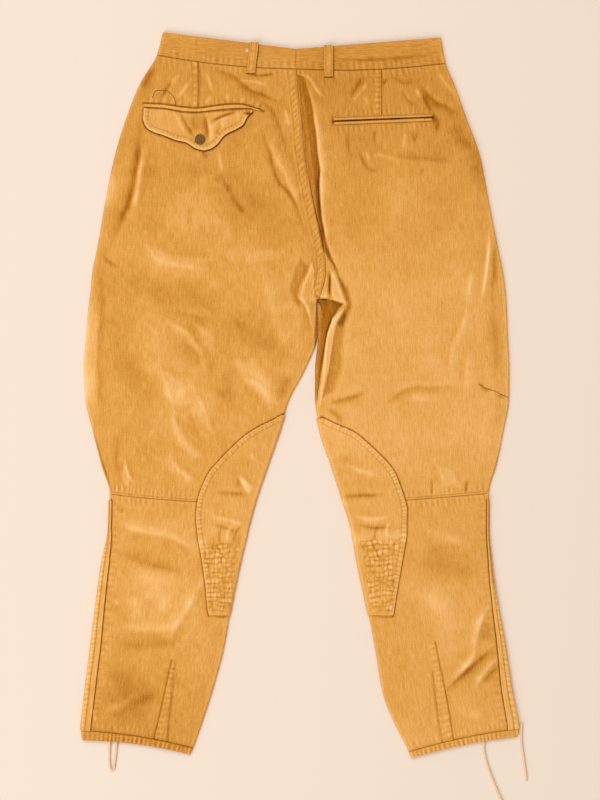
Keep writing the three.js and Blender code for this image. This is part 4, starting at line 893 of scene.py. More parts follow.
# The closed wall between two offsets of a sheet, as an object. Its inner side has half the rows and
# columns, and its rim is a little rounded.
def makeWall(name, sheet, inner, outer, material, node, tone, grain=0.0):
    points, normals = sheet["points"], sheet["normals"]
    rows, cols = points.shape[:2]
    edge = np.zeros((rows, cols))
    edge[[0, -1]] = edge[:, [0, -1]] = meshSet["rim"]
    above = points + normals * (outer - (outer - inner) * edge)[..., None]
    beneath = points + normals * (inner + 0 * edge)[..., None]
    half = np.ix_(range(0, rows, 2), range(0, cols, 2))
    verts = np.concatenate([above.reshape(-1, 3), beneath[half].reshape(-1, 3)])
    verts[:, 2] = np.maximum(verts[:, 2], 0)
    index = np.arange(rows * cols).reshape(rows, cols)
    lower = np.full((rows, cols), -1)
    lower[half] = rows * cols + np.arange(beneath[half][..., 0].size).reshape(beneath[half].shape[:2])
    under = lower[half]
    upper = np.stack([index[:-1, :-1], index[:-1, 1:], index[1:, 1:], index[1:, :-1]], -1)
    inside = np.stack([under[:-1, :-1], under[1:, :-1], under[1:, 1:], under[:-1, 1:]], -1)
    faces = upper.reshape(-1, 4).tolist() + inside.reshape(-1, 4).tolist()
    around = [(0, c) for c in range(cols - 1)] + [(r, cols - 1) for r in range(rows - 1)]
    around += [(rows - 1, c) for c in range(cols - 1, 0, -1)] + [(r, 0) for r in range(rows - 1, 0, -1)]
    for k in range(0, len(around), 2):
        a, b, c = around[k], around[k + 1], around[(k + 2) % len(around)]
        faces.append([int(i) for i in (index[c], index[b], index[a], lower[a], lower[c])])
    r, c = rows // 2, cols // 2
    if np.dot(np.cross(above[r + 1, c] - above[r, c], above[r, c + 1] - above[r, c]), normals[r, c]) > 0:
        faces = [face[::-1] for face in faces]
    mesh = bpy.data.meshes.new(name)
    mesh.from_pydata((verts * mm).tolist(), [], faces)
    turn = math.radians(grain)
    u = verts[:, 0] * math.cos(turn) + verts[:, 1] * math.sin(turn)
    w = -verts[:, 0] * math.sin(turn) + verts[:, 1] * math.cos(turn)
    corners = np.zeros(len(mesh.loops), np.int32)
    mesh.loops.foreach_get("vertex_index", corners)
    layer = mesh.uv_layers.new(name="grain")
    layer.data.foreach_set("uv", (np.stack([u, w], 1)[corners] * mm).astype(np.float32).ravel())
    # the tone: paler where rubbed, with painted light and shade
    wearAndShading = mesh.attributes.new("wearAndShading", "FLOAT", "POINT")
    wearAndShading.data.foreach_set("value", np.concatenate([tone.ravel(), tone[half].ravel()]).astype(np.float32))
    mesh.shade_smooth()
    mesh.set_sharp_from_angle(angle=math.radians(50))
    thing = newObject(name, mesh, material)
    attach(thing, "root")
    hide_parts(node)
    return thing


# Relief: what seams, sewing and being worn do to the panels, and the light and shade painted on them.

plainTone = 0.6
toneDown = {  # how much paler or darker the cloth is drawn, down each half
    "left": {500: -0.06, 440: -0.06, 330: -0.05, 150: 0, -60: 0, -200: 0.03, -380: 0.02, -480: -0.06},
    "right": {500: -0.05, 440: -0.12, 330: -0.05, 150: 0.05, -60: 0.09, -150: 0.03, -400: 0.03, -480: 0.06},
}
reliefSet = {
    "crumple": [(0.32, 64, 20), (0.26, 31, -35), (0.15, 14, 50)],  # height, size and turn of folds
    # crumpleTone, underTone: tone for each mm of crumple, on top and underneath: crests rubbed pale and lit
    # with painted highlight, hollows darkened with painted shade
    "crumpleTone": 0.05,
    "underTone": 0.12,
    "calm": (0.45, 60),  # how much smoother the right half lies, and from how far out
    "reach": 30,  # how far sewing pulls at the cloth
    "groove": 0.3,  # a seam line's depth
    "shade": (1.0, 0.32),  # width and depth of its dark line
    "stitchDent": (0.2, 0.9),
    # rowTone: painted shade in the stitch dents
    "rowTone": 0.16,
    "edgeTone": 0.16,  # side folds rub pale
    "gatherTone": 0.3,  # paler for each mm of a gather's height: painted highlight on its crests, painted shade in its hollows
    "cavity": 0.16,  # paler for each mm above the cloth around: painted highlight on bumps, painted shade in hollows
    "cavityReach": 3,
    "cavityLimits": (-0.25, 0.2),
    # heights of the skin at which these start, and over how much more they grow to full strength
    "topFrom": (1.0, 2.5),
    "crumpleFrom": (5.4, 1.5),
    "cavityFrom": (4.5, 1.5),
    "edgeBelow": (4.6, 2),
}


# Uneven gathers across a line of sewing: pitch, middle and reach beside the line, height and slant.
def puckers(offset, along, total, pitch, middle, reach, height, slant, seed):
    rng = np.random.default_rng(seed)
    count = int(total / pitch) + 8
    knots = np.cumsum(pitch * (0.65 + 0.7 * rng.random(count))) - 3 * pitch
    strength = np.interp(along, knots, 0.25 + 0.75 * rng.random(count))
    phase = np.interp(along + slant * (offset - middle), knots, np.arange(count))
    ends = smoothStep(along / 5) * smoothStep((total - along) / 5)
    return height * strength * ends * np.cos(math.tau * phase) * np.exp(-((offset - middle) / reach) ** 2)


# Folds pressed in by storage and washing: sharp crests over uneven hollows, in three sizes.
def crumpled(x, y):
    total = np.zeros(x.shape)
    for number, (height, size, turn) in enumerate(reliefSet["crumple"]):
        c, s = math.cos(math.radians(turn)), math.sin(math.radians(turn))
        ridge = abs(softNoise(1.25 * (c * x + s * y), 0.8 * (c * y - s * x), size, seeds["crumple"] + number))
        total += height * (0.6 - 2 * ridge)
    return total


def rowLine(side, station, share=1.0):
    row = rowsOf(side, np.full(40, float(stationAt[station])))
    return np.stack(alongRow(row, np.linspace(0, share, 40) * row["width"]), -1)


seatSeam = smoothLine([(row[2], row[3]) for row in list(stations.values())[1:9]], 6)

patchBorder = {
    "left": [(-22, -26), (-36, -34), (-57, -44.5), (-77, -57), (-96.5, -75), (-113, -92), (-126, -107.5),
             (-134, -123), (-141, -141), (-143.5, -156.5), (-144.5, -170.5), (-142, -197), (-136.5, -228),
             (-131.5, -263), (-129, -292), (-126.5, -307)],
    "right": [(30, -31), (51.5, -41.5), (74.5, -51.5), (89, -62.5), (107.5, -79.5), (123.5, -96), (133, -110),
              (140, -127.5), (146, -145), (149, -158.5), (148.5, -176), (148, -198.5), (143.5, -225),
              (139, -251.5), (134.5, -278), (130, -307)],
}
patchLine = {side: smoothLine(points, 4) for side, points in patchBorder.items()}
flapTop = [(-217, 400.5), (-189, 399), (-163.5, 394.6), (-142.5, 394), (-114.5, 396.5), (-74, 399),
           (-66, 397.5)]
flapFoot = [(-218, 384), (-214, 374), (-205.5, 367.5), (-188, 361.5), (-173, 355.5),
            (-158, 352), (-148, 345.5), (-139, 342), (-133, 341.5), (-123, 344), (-114, 351), (-107.5, 359.5),
            (-100.5, 365), (-88, 371), (-79, 377), (-74, 386.5), (-66, 395)]
flapRim = smoothLine([flapTop[0], *flapFoot], 3)
weltRim = smoothLine([(-219, 407.5), (-189, 406), (-161, 402), (-140, 401), (-112, 405), (-84, 406.5),
                      (-66, 402), (-50, 396)], 5)
quilts = {  # corners of the quilted block from its upper outer one, columns and rows
    "left": ([(-135.5, -208), (-84, -205.5), (-98.5, -303), (-126.5, -300.5)], 7, 14),
    "right": ([(140, -200), (85.5, -202.5), (99.5, -304), (128.5, -300.5)], 7, 14),
}

darts = {
    "left": smoothLine([(-142, 466), (-142, 403)], 6),
    "right": smoothLine([(114, 458), (114, 390.5)], 6),
}
calfDarts = {
    "left": [smoothLine([(-179, -369), (-186, -401.5), (-194.5, -440.5), (-205.5, -488)], 6),
             smoothLine([(-175, -372), (-179, -411), (-186.5, -488)], 6)],
    "right": [smoothLine([(189, -344), (195, -376), (204.5, -421), (215, -485)], 6),
              smoothLine([(185.5, -386), (193, -447.5), (200, -488)], 6)],
}


# A line down the calf placket: 0 is its outer edge, 1 the seam.
def placketLine(side, share):
    v = np.linspace(stationAt["knee"] + 0.2, stationAt["hemSeam"], 60)
    row = rowsOf(side, v)
    outer, seam = placketReach(side, row, v)
    return skinPoints(side, v, outer + (seam - outer) * share)[:, :2]


# A sewn line. strip: raised doubled cloth between two offsets from the line, and how far; rows: offsets of
# the stitches; gathers: as puckers takes them; shade: width and depth of the dark line. An offset is
# positive on the left hand of the line: +X going down, +Y going to +X. A sign of -1 turns all over.
def sew(sign, line, strip=(0, 0, 0), rows=(), gathers=(), shade=reliefSet["shade"]):
    low, high, rise = strip
    return {
        "line": line,
        "strip": (low, high, rise) if sign > 0 else (-high, -low, rise),
        "rows": [sign * row for row in rows],
        "gathers": [(pitch, sign * middle, *rest) for pitch, middle, *rest in gathers],
        "shade": shade,
    }


dartSewing = {
    "left": sew(1, darts["left"], (-6, 0, 0.45), [2.5], [(8, -4, 3, 0.2, 0)], (0.8, 0.32)),
    "right": sew(1, darts["right"], (-9, 0, 0.45), [-3], [(6.5, -5, 4, 0.28, 0)], (0.8, 0.32)),
}
pocketSewing = {
    "left": {
        "flap": sew(1, flapRim, shade=(1.7, 0.5)),
        "welt": sew(1, weltRim, gathers=[(9, 5, 4, 0.3, 0)], shade=(1.3, 0.4)),
    },
    "right": {
        "pocket": sew(1, np.array([(47, 381.5), (185, 387.6)]), shade=(1.6, 0.6),
                      gathers=[(7, 11, 4, 0.35, 0), (7, -11, 4, 0.35, 0.1)]),
    },
}
placketGathers = {"left": (6.5, -2.5, 3, 0.34, 0.25), "right": (7.5, -2.5, 3, 0.34, -0.4)}
sewing = {
    "left": {"seat": sew(1, seatSeam, (-15, 0, 0.8), (-2.5, -12.5), [(8.5, -7.5, 4.5, 0.3, 0.8)])},
    "right": {},
}
patchSewing, placketSewing = {}, {}
for side, sign in (("left", 1), ("right", -1)):
    dartOuter, dartInner = calfDarts[side]
    sewing[side].update({
        "waist": sew(sign, rowLine(side, "waistSeam"), (-9, -0.5, 0.15),
                     gathers=[(9, 6, 6, 0.24, 0.1), (8, -6, 6, 0.22, 0.2)], shade=(0.8, 0.26)),
        "dart": dartSewing[side],
        "knee": sew(sign, rowLine(side, "knee", 0.66), (-4, 6, 0.3), [3.2],
                    [(6.3, 9, 4.5, 0.32, 0), (7.5, -6, 5, 0.26, 0.1)], (0.9, 0.2)),
        "dart outer": sew(sign, dartOuter, (0, 10, 0.4), gathers=[(8, 5, 4, 0.24, 0.1)]),
        "dart inner": sew(sign, dartInner, rows=[2], gathers=[(8, -3, 3, 0.2, -0.2)], shade=(0.8, 0.2)),
        "patch": sew(sign, patchLine[side], shade=(1.9, 0.5)),
        **pocketSewing[side],
        "hem": sew(sign, rowLine(side, "hemSeam"), (0, 4, 0.5), [2.4],
                   [(6.5, -7, 6, 0.55, 0), (7, 8, 4, 0.25, 0)]),
        "placket": sew(sign, placketLine(side, 1), gathers=[(9, 6, 4, 0.15, 0)], shade=(1.5, 0.5)),
    })
    patchSewing[side] = {
        "border": sew(sign, patchLine[side], (0, 5, 0.25), [6.5], [(6, 4, 3.4, 0.42, 0)], (1.1, -0.1)),
    }
    placketSewing[side] = {
        "placket": sew(sign, placketLine(side, 0.5), (-3, 3, 0.2), gathers=[placketGathers[side]]),
    }


# Height and tone of sewn lines; the tone is painted shade along each line (a pale line where its depth is
# negative) and in its stitch dents, and painted light and shade on its gathers.
def sewnRelief(x, y, table):
    height, tone = np.zeros(x.shape), np.zeros(x.shape)
    depth = reliefSet["groove"]
    dent, dentWidth = reliefSet["stitchDent"]
    for number, seam in enumerate(table.values()):
        line = seam["line"]
        width, dark = seam["shade"]
        near = closeTo(line, x, y, reliefSet["reach"])
        if not near.any():
            continue
        away, side, along, total = nearLine(x[near], y[near], line)
        offset = side * away
        low, high, rise = seam["strip"]
        inside = smoothStep((offset - low) / 1.6 + 0.5) * smoothStep((high - offset) / 1.6 + 0.5)
        ends = smoothStep(along / 4) * smoothStep((total - along) / 4)
        made = rise * inside * ends
        for k, gather in enumerate(seam["gathers"]):
            folds = puckers(offset, along, total, *gather, seed=900 + 31 * number + k)
            made += folds
            tone[near] += reliefSet["gatherTone"] * folds
        made -= depth * np.exp(-(away / width) ** 2)
        tone[near] -= dark * np.exp(-(away / width) ** 2)
        for row in seam["rows"]:
            mark = np.exp(-((offset - row) / dentWidth) ** 2) * ends
            made -= dent * mark
            tone[near] -= reliefSet["rowTone"] * mark
        height[near] += made
    return height, tone


quiltSet = {
    "sway": (0.4, 10),  # in squares, how far the columns wander, and over what length
    "drift": (0.28, 9),  # the same for the rows
    "uneven": (0.55, 0.75, 7),  # middle and range of the puff, and over what length
    "crease": 3.4,
    "pull": 17,
    "heights": (1.15, 0.25, 0.5),  # of the puff, of the creases in it and of the pulls above the block
    # tones: painted highlight on each puff, painted shade in the quilted lines, creases and pulls
    "tones": (0.36, 0.08, 0.1),
    "darker": 0.08,
}


# Squares quilted through a patch, each pulled in along its edges by its own amount: height and tone. The tone
# is painted highlight on the puffs and painted shade in the quilted lines and pulls, and the block a little
# darker.
def quilted(x, y, corners, columns, rows):
    (x0, y0), (x1, y1), (x2, y2), (x3, y3) = corners
    v = (y0 - y) / (y0 - y3)
    for _ in range(3):
        left, right = x0 + (x3 - x0) * v, x1 + (x2 - x1) * v
        u = (x - left) / (right - left)
        v = (y0 + (y1 - y0) * u - y) / (y0 - y3 + (y1 - y0 - y2 + y3) * u)
    inside = smoothStep(u * 12 + 0.5) * smoothStep((1 - u) * 12 + 0.5)
    inside *= smoothStep(v * 20 + 0.5) * smoothStep((1 - v) * 20 + 0.5)
    sway, swayOver = quiltSet["sway"]
    drift, driftOver = quiltSet["drift"]
    column = np.sin(math.pi * (u * columns + sway * softNoise(x, y, swayOver, seeds["sway"])))
    row = np.sin(math.pi * (v * rows + drift * softNoise(x, y, driftOver, seeds["drift"])))
    least, more, over = quiltSet["uneven"]
    puff = (abs(column * row) ** 0.6 - 0.5) * (least + more * softNoise(x, y, over, seeds["puff"])) * inside
    creased = softNoise(x, y, quiltSet["crease"], seeds["quilt crease"]) * inside
    pulled = 1 - 2.6 * abs(softNoise(x, 0.6 * y, quiltSet["pull"], seeds["pull"]))
    pulled *= smoothStep(1.2 - 8 * abs(v + 0.02))
    parts = (puff, creased, pulled)
    tone = sum(share * part for share, part in zip(quiltSet["tones"], parts)) - quiltSet["darker"] * inside
    return sum(share * part for share, part in zip(quiltSet["heights"], parts)), tone


# 0 where z is below a level, 1 once it has risen enough above it.
def risen(z, name):
    level, grown = reliefSet[name]
    return smoothStep((z - level) / grown)


# Sews and crumples a sheet, and returns its tone: paler where rubbed, with painted light and shade on its
# creases, seams and hollows.
def dressed(sheet, table, extra=None, base=plainTone):
    x, y, z = np.moveaxis(sheet["points"], -1, 0)
    relief, tone = sewnRelief(x, y, table)
    calm, calmFrom = reliefSet["calm"]
    folds = crumpled(x, y) * risen(z, "crumpleFrom") * (1 - calm * smoothStep(x / calmFrom))
    relief += folds
    tone += reliefSet["crumpleTone"] * folds
    if extra is not None:
        more, paler = extra(x, y)
        relief += more
        tone += paler
    top = risen(z, "topFrom")
    tone += creaseField(creases, x, y, facets)[1]
    level, grown = reliefSet["edgeBelow"]
    tone += reliefSet["edgeTone"] * smoothStep((level - z) / grown)
    toneSteps = sorted(toneDown[sheet["side"]].items())
    tone += np.interp(y, [at for at, paler in toneSteps], [paler for at, paler in toneSteps])
    sheet["points"] = sheet["points"] + sheet["normals"] * (relief * top)[..., None]
    sheet["normals"] = skinNormals(sheet["side"], sheet["points"])
    z = sheet["points"][..., 2]
    # painted shade in hollows and painted highlight on bumps, from how far each point stands above the cloth
    # around
    reach = reliefSet["cavityReach"]
    hollow = z - blurred(blurred(z, reach, 0), reach, 1)
    tone += np.clip(reliefSet["cavity"] * hollow, *reliefSet["cavityLimits"]) * risen(z, "cavityFrom")
    return base + top * tone + (1 - top) * reliefSet["underTone"] * crumpled(x, y)


pieces, cuts = {}, {}


def makePiece(name, sheet, inner, outer, node, tone, grain=0, material=cottonTwill, restsOn=()):
    pieces[name] = makeWall(name, sheet, inner, outer, material, node, tone, grain)
    cuts[name] = (sheet["flat"], restsOn)


for side in ("left", "right"):
    lean = {"left": -2, "right": 2}[side]
    sheet = skinSheet(side, frontReach, rowPlaces(side, "waistSeam", "hemSeam", 5), 2.6)
    makePiece("front_" + side, sheet, -cloth["panel"], 0.0, "front_panel_" + side,
              dressed(sheet, sewing[side]), lean)
    sheet = skinSheet(side, backReach, rowPlaces(side, "waistSeam", "knee", 1.9), 1.7)
    makePiece("back_" + side, sheet, -cloth["panel"], 0.0, "back_panel_" + side,
              dressed(sheet, sewing[side]), lean, restsOn=["front_" + side])
    sheet = skinSheet(side, backReach, rowPlaces(side, "knee", "hemSeam", 1.8), 1.6)
    makePiece("calf_" + side, sheet, -cloth["panel"], 0.0, "back_calf_" + side,
              dressed(sheet, sewing[side]), 4 * lean, restsOn=["front_" + side])
    sheet = skinSheet(side, bandReach, rowPlaces(side, "bandTop", "waistSeam", 1.4, startGap=0), 1.6)
    makePiece("waistband_cloth_" + side, sheet, -cloth["band"], 0.0, "waistband_" + side,
              dressed(sheet, {"waist": sewing[side]["waist"]}, base=plainTone - 0.02), 90)
    for place, reach in (("back_", backReach), ("front_", frontReach)):
        sheet = skinSheet(side, reach, rowPlaces(side, "hemSeam", "hemEnd", 1.2, endGap=0), 1.4)
        makePiece("hem_cloth_" + place + side, sheet, -cloth["hem"], 0.0, "hem_" + place + side,
                  dressed(sheet, {"hem": sewing[side]["hem"]}, base=plainTone - 0.04), 90)
    sheet = skinSheet(side, placketReach, rowPlaces(side, "knee", "hemSeam", 1.8, startGap=8), 1.2)
    makePiece("placket_" + side, sheet, cloth["gap"], cloth["gap"] + cloth["panel"], "calf_placket_" + side,
              dressed(sheet, placketSewing[side], base=plainTone + 0.1), 4 * lean, restsOn=["front_" + side])
print("panels, bands and hems made")


# What lies on the panels.

# Row and distance on one half's skin over points of the layout.
def locate(side, x, y):
    low, high = np.zeros(np.shape(x)), np.full(np.shape(x), float(lastStation))
    for _ in range(30):
        v = (low + high) / 2
        row = rowsOf(side, v)
        u = (x - row["ox"]) / (row["ix"] - row["ox"])
        above = row["oy"] + (row["iy"] - row["oy"]) * u + row["bow"] * 4 * u * (1 - u) > y
        low, high = np.where(above, v, low), np.where(above, high, v)
    v = (low + high) / 2
    row = rowsOf(side, v)
    u = (x - row["ox"]) / (row["ix"] - row["ox"])
    return v, u * row["width"] - cloth["edgeHalf"]


def layerSheet(side, x, y):
    points = skinPoints(side, *locate(side, x, y))
    relief = sewnRelief(x, y, sewing[side])[0]
    normals = layerNormals(points)
    return asSheet(side, points + normals * relief[..., None], normals)


# A grid between two lines, each walked in even steps.
def ruled(lineA, lineB, across, along):
    def even(line):
        line = smoothLine(line, 2)
        run = walked(line)
        want = np.linspace(0, run[-1], along + 1)
        return np.stack([np.interp(want, run, line[:, k]) for k in (0, 1)], -1)

    t = np.linspace(0, 1, across + 1)[:, None, None]
    grid = even(lineA)[None] * (1 - t) + even(lineB)[None] * t
    return grid[..., 0], grid[..., 1]


patchSet = {"lift": 0.3, "spacing": 2.8, "columns": 97, "reach": 0.6}  # reach: how far round the inner fold


def makePatch(side):
    border = smoothLine(patchBorder[side], 3)
    vBorder, qBorder = locate(side, border[:, 0], border[:, 1])
    order = np.argsort(vBorder)
    v0, v1 = vBorder[order][0] + 0.03, vBorder[order][-1]
    fine = np.linspace(v0, v1, 400)
    row = rowsOf(side, fine)
    run = walked(np.stack([(row["ox"] + row["ix"]) / 2, row["iy"]], -1))
    v = np.interp(np.linspace(0, run[-1], 2 * round(run[-1] / patchSet["spacing"]) + 1), run, fine)
    row = rowsOf(side, v)
    q0 = np.interp(v, vBorder[order], qBorder[order])
    q1 = row["top"] + patchSet["reach"] * row["innerArc"]
    q = q0[:, None] + (q1 - q0)[:, None] * np.linspace(0, 1, patchSet["columns"])
    points = skinPoints(side, v[:, None], q)
    sheet = asSheet(side, points, skinNormals(side, points))
    base = cloth["gap"] + patchSet["lift"]
    tone = dressed(sheet, patchSewing[side], lambda x, y: quilted(x, y, *quilts[side]), base=plainTone + 0.03)
    makePiece("patch_" + side, sheet, base, base + cloth["patch"], "knee_patch_" + side, tone, 0,
              restsOn=["back_" + side, "calf_" + side])


makePatch("left")
makePatch("right")

flapSet = {
    "lift": 2.0,  # how far the free edge stands off the seat
    "liftReach": 16,
    "turned": (2.3, 0.35),  # width and height of the turned edge
    "turnedTone": 0.14,
    "topShade": (0.5, 1.3),  # strength and width of the shade under the welt
    "sewing": {"edge": sew(1, flapRim, rows=[6.8], gathers=[(5.6, 5.5, 3.2, 0.42, 0)], shade=(0.8, -0.1))},
}
# Creases of the flap, with the crease table's columns: painted shade in the buckles and hollows, painted
# highlight on the crests; the frayed end is a dark mark of the cloth.
flapCreases = drawn({
    "left buckle": (1.5, 4, -1.56, -0.34, [(-166, 396), (-160, 382), (-151, 366), (-147, 358)]),
    "left crest": (5, 2, 1.3, 0.18, [(-172, 392), (-165, 374), (-158, 364)]),
    "right buckle": (1.5, 5, -1.69, -0.39, [(-134, 395), (-131, 384), (-129, 372), (-128, 352)]),
    "right crest": (5, 1.5, 1.69, 0.26, [(-133, 384), (-128, 378), (-125, 366), (-124, 354)]),
    "button hollow": (9, 9, -0.91, -0.18, [(-149, 394), (-146, 380), (-141, 364)]),
    "long buckle": (3, 1.5, -1.56, -0.39, [(-84, 396), (-104, 391), (-120, 384), (-127, 378)]),
    "long crest": (1.5, 4, 1.43, 0.18, [(-90, 389), (-108, 385), (-122, 376)]),
    "inner shade": (3, 3, -0.78, -0.21, [(-107, 378), (-112, 371), (-119, 360)]),
    "inner crest": (3, 3, 1.17, 0.17, [(-106, 388), (-107, 376), (-114, 364)]),
    "end crest": (4, 4, 0.65, 0.1, [(-92, 391), (-80, 388)]),
    "frayed end": (2.4, 2.4, -0.39, -0.78, [(-76, 393), (-70, 391), (-66, 393)]),
})


def makeFlap():
    x, y = ruled(flapTop, flapFoot, 44, 136)
    sheet = layerSheet("left", x, y)
    away = nearLine(x, y, flapRim)[0]
    wide, high = flapSet["turned"]
    turned = smoothStep((wide - away) / 1.5 + 0.5)
    height, tone = creaseField(flapCreases, x, y)
    sewn, sewnTone = sewnRelief(x, y, flapSet["sewing"])
    lift = flapSet["lift"] * smoothStep(1 - away / flapSet["liftReach"])
    lift += np.maximum(height, -1.0) + 0.2 * turned
    height = lift + sewn + high * turned
    base = cloth["gap"] + 0.4
    away = nearLine(x, y, smoothLine(flapTop, 4))[0]
    dark, reach = flapSet["topShade"]
    shade = plainTone + tone + sewnTone + flapSet["turnedTone"] * turned - dark * np.exp(-(away / reach) ** 2)
    makePiece("flap_left", sheet, base + np.maximum(lift, 0), base + cloth["flap"] + height,
              "pocket_flap_left", shade, material=pocketTwill, restsOn=["back_left"])


makeFlap()

welts = {
    "pocket_welt_left": ("left",
                         [(-217.5, 406.5), (-189, 405), (-161, 401), (-140, 400), (-112, 404),
                          (-84, 405.5), (-67, 401.5), (-53, 397)],
                         [(-215.5, 401.5), (-189, 400), (-163.5, 396), (-142.5, 395), (-114.5, 397.8),
                          (-98, 399.5), (-74, 400), (-60, 396.8)]),
    # the lips above and below a slit
    "pocket_welt_right_upper": ("right", [(48, 387), (183.5, 391.5)], [(49, 382.5), (183.5, 388)]),
    "pocket_welt_right_lower": ("right", [(49, 381.5), (183.5, 387)], [(47, 376.5), (184, 382)]),
}
weltSet = {
    "roll": 0.55,  # how far a lip rolls up in its middle
    "uneven": 0.25,
    # middleTone, edgeShade: painted highlight along the top of each rolled lip, painted shade at its edges
    "middleTone": 0.04,
    "edgeShade": 0.4,
    "worn": 0.06,  # how much darker the slit's lips are
    "slitShade": (0.5, 0.2),  # strength and share of a lip's width
}
for node, (side, upper, lower) in welts.items():
    x, y = ruled(upper, lower, 10, 120)
    across = np.linspace(0, 1, 11)[:, None] + 0 * x
    arch = np.sin(math.pi * across)
    roll = weltSet["roll"] * arch * (1 + weltSet["uneven"] * softNoise(x, y, 7, seeds["welt roll"]))
    shade = plainTone + weltSet["middleTone"] * arch - weltSet["edgeShade"] * (1 - arch) ** 2
    if side == "right":  # the lips a little darker, and painted shade along the slit
        slit = 1 - across if "upper" in node else across
        dark, reach = weltSet["slitShade"]
        dark = dark * (0.75 + 0.5 * softNoise(x, y, 12, seeds["welt slit shade"]))
        shade -= weltSet["worn"] + dark * np.exp(-(slit / reach) ** 2)
    name = node.replace("pocket_welt", "welt")
    base = cloth["gap"] + 0.2
    sheet = layerSheet(side, x, y)
    pieces[name] = makeWall(name, sheet, base, base + cloth["welt"] + roll, pocketTwill, node, shade)
print("patches and pockets made")

loops = {
    "left": [(-63.5, 492), (-68.5, 448.5)],
    "right": [(40, 488), (40, 443.5)],
}
loopSet = {
    "width": 13,
    "rise": 1.9,
    "dents": 3.6,  # how far from the middle its two rows of stitches pull it in
    "dentSize": 0.8,
    "dentDepth": 0.25,
    # dentTone: painted shade in the dents of the stitch rows and the bar tack
    "dentTone": 0.16,
    "tack": 0.1,
    "ragged": 0.5,
    "rimShade": 0.42,
}


def makeLoop(side):
    (x0, y0), (x1, y1) = loops[side]
    t = np.linspace(0, 1, 57)[:, None]
    across = np.linspace(-0.5, 0.5, 17)[None]
    ragged = loopSet["ragged"] * softNoise(across * 40, t * 90, 3, seeds["loop " + side])
    ragged = ragged * (abs(across) > 0.49)
    x = x0 + (x1 - x0) * t + across * loopSet["width"] + ragged
    y = y0 + (y1 - y0) * t + 0 * across
    under = layerSheet(side, x, np.minimum(y, y0 - 4))["points"][..., 2]
    z = under + cloth["gap"] + 0.15 + loopSet["rise"] * np.sin(np.pi * t) ** 0.7
    points = np.stack([x, y, z], -1)
    dent = np.exp(-((abs(across) * loopSet["width"] - loopSet["dents"]) / loopSet["dentSize"]) ** 2) + 0 * t
    dent = np.maximum(dent, np.exp(-((t - (1 - loopSet["tack"])) / 0.02) ** 2) + 0 * across)
    rim = (abs(across) > 0.44) | (t > 0.98)
    name = "loop_" + side
    sheet = asSheet(side, points, layerNormals(points))
    shade = plainTone - 0.02 - loopSet["dentTone"] * dent - loopSet["rimShade"] * rim
    shade += 0.06 * softNoise(x, y, 3, seeds["loop tone"])
    makePiece(name, sheet, 0.0, cloth["loop"] - loopSet["dentDepth"] * dent, "belt_loop_" + side, shade,
              restsOn=["waistband_cloth_" + side])


makeLoop("left")
makeLoop("right")
bpy.context.view_layer.update()

# The flat points of each piece, in metres, before sewing relief. The welts are not among them. The
# welts are narrower than a sheet may be, so they go with the cloth that they are sewn to.
for name, (flat, restsOn) in cuts.items():
    points = flat * mm

buttonSet = {"radius": 7.2, "thick": 2.2, "rim": 1.2, "dish": 0.5, "slope": 0.7, "boss": 2.6, "seat": 0.1,
             "bevel": 0.35}


def dropOn(names, x, y):
    hits = []
    for name in names:
        found, place, normal, _ = pieces[name].ray_cast(Vector((x * mm, y * mm, 0.1)), Vector((0, 0, -1)))
        if found:
            hits.append((place, normal))
    return max(hits, key=lambda hit: hit[0].z) if hits else (None, None)


def makeButton():
    low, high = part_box("flap_button")
    x, y = (low[0] + high[0]) / 2, (low[1] + high[1]) / 2
    ground = dropOn(["flap_left"], x / mm, y / mm)[0].z
    bpy.ops.object.select_all(action="DESELECT")
    thick = buttonSet["thick"] * mm
    middle = (x, y, ground + thick / 2 + buttonSet["seat"] * mm)
    bpy.ops.mesh.primitive_cylinder_add(vertices=48, radius=buttonSet["radius"] * mm, depth=thick,
                                        location=middle)
    button = bpy.context.active_object
    button.name = "pocket_button"
    bpy.context.tool_settings.mesh_select_mode = (False, False, True)
    for part in (*button.data.vertices, *button.data.edges, *button.data.polygons):
        part.select = False
    for face in button.data.polygons:
        face.select = face.normal.z > 0.9
    bpy.ops.object.mode_set(mode="EDIT")
    bpy.ops.mesh.inset(thickness=buttonSet["rim"] * mm)
    bpy.ops.transform.translate(value=(0, 0, -buttonSet["dish"] * mm))
    bpy.ops.mesh.inset(thickness=buttonSet["slope"] * mm)
    bpy.ops.mesh.inset(thickness=buttonSet["boss"] * mm)
    bpy.ops.transform.translate(value=(0, 0, buttonSet["dish"] * mm))
    bpy.ops.object.mode_set(mode="OBJECT")
    bevel = button.modifiers.new("worn edge", "BEVEL")
    bevel.width = buttonSet["bevel"] * mm
    bevel.segments = 3
    bevel.limit_method = "ANGLE"
    bpy.ops.object.modifier_apply(modifier=bevel.name)
    bpy.ops.object.transform_apply(location=True, rotation=True, scale=True)
    bpy.ops.object.shade_smooth_by_angle(angle=math.radians(40))
    button.data.materials.append(hornButton)
    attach(button, "root")
    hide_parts("flap_button")


makeButton()
print("loops and button made")

# Stitches and threads.

stitchSet = {
    "length": 2.8,  # a real topstitch, 3.2 mm from needle hole to needle hole
    "pitch": 3.2,
    "thick": 0.55,
    "sunk": 0.05,
}


def stitchShape():
    bpy.ops.object.select_all(action="DESELECT")
    bpy.ops.mesh.primitive_uv_sphere_add(segments=6, ring_count=4, radius=0.5)
    shape = bpy.context.active_object
    bpy.ops.object.mode_set(mode="EDIT")
    bpy.ops.mesh.select_all(action="SELECT")
    bpy.ops.transform.resize(value=(stitchSet["length"], stitchSet["thick"], stitchSet["thick"]))
    bpy.ops.object.mode_set(mode="OBJECT")
    verts = np.array([vert.co[:] for vert in shape.data.vertices])
    faces = [list(face.vertices) for face in shape.data.polygons]
    bpy.data.objects.remove(shape)
    return verts, faces


def offsetLine(line, offset):
    ahead = np.gradient(line, axis=0)
    ahead /= np.linalg.norm(ahead, axis=1)[:, None]
    return line + offset * np.stack([-ahead[:, 1], ahead[:, 0]], -1)


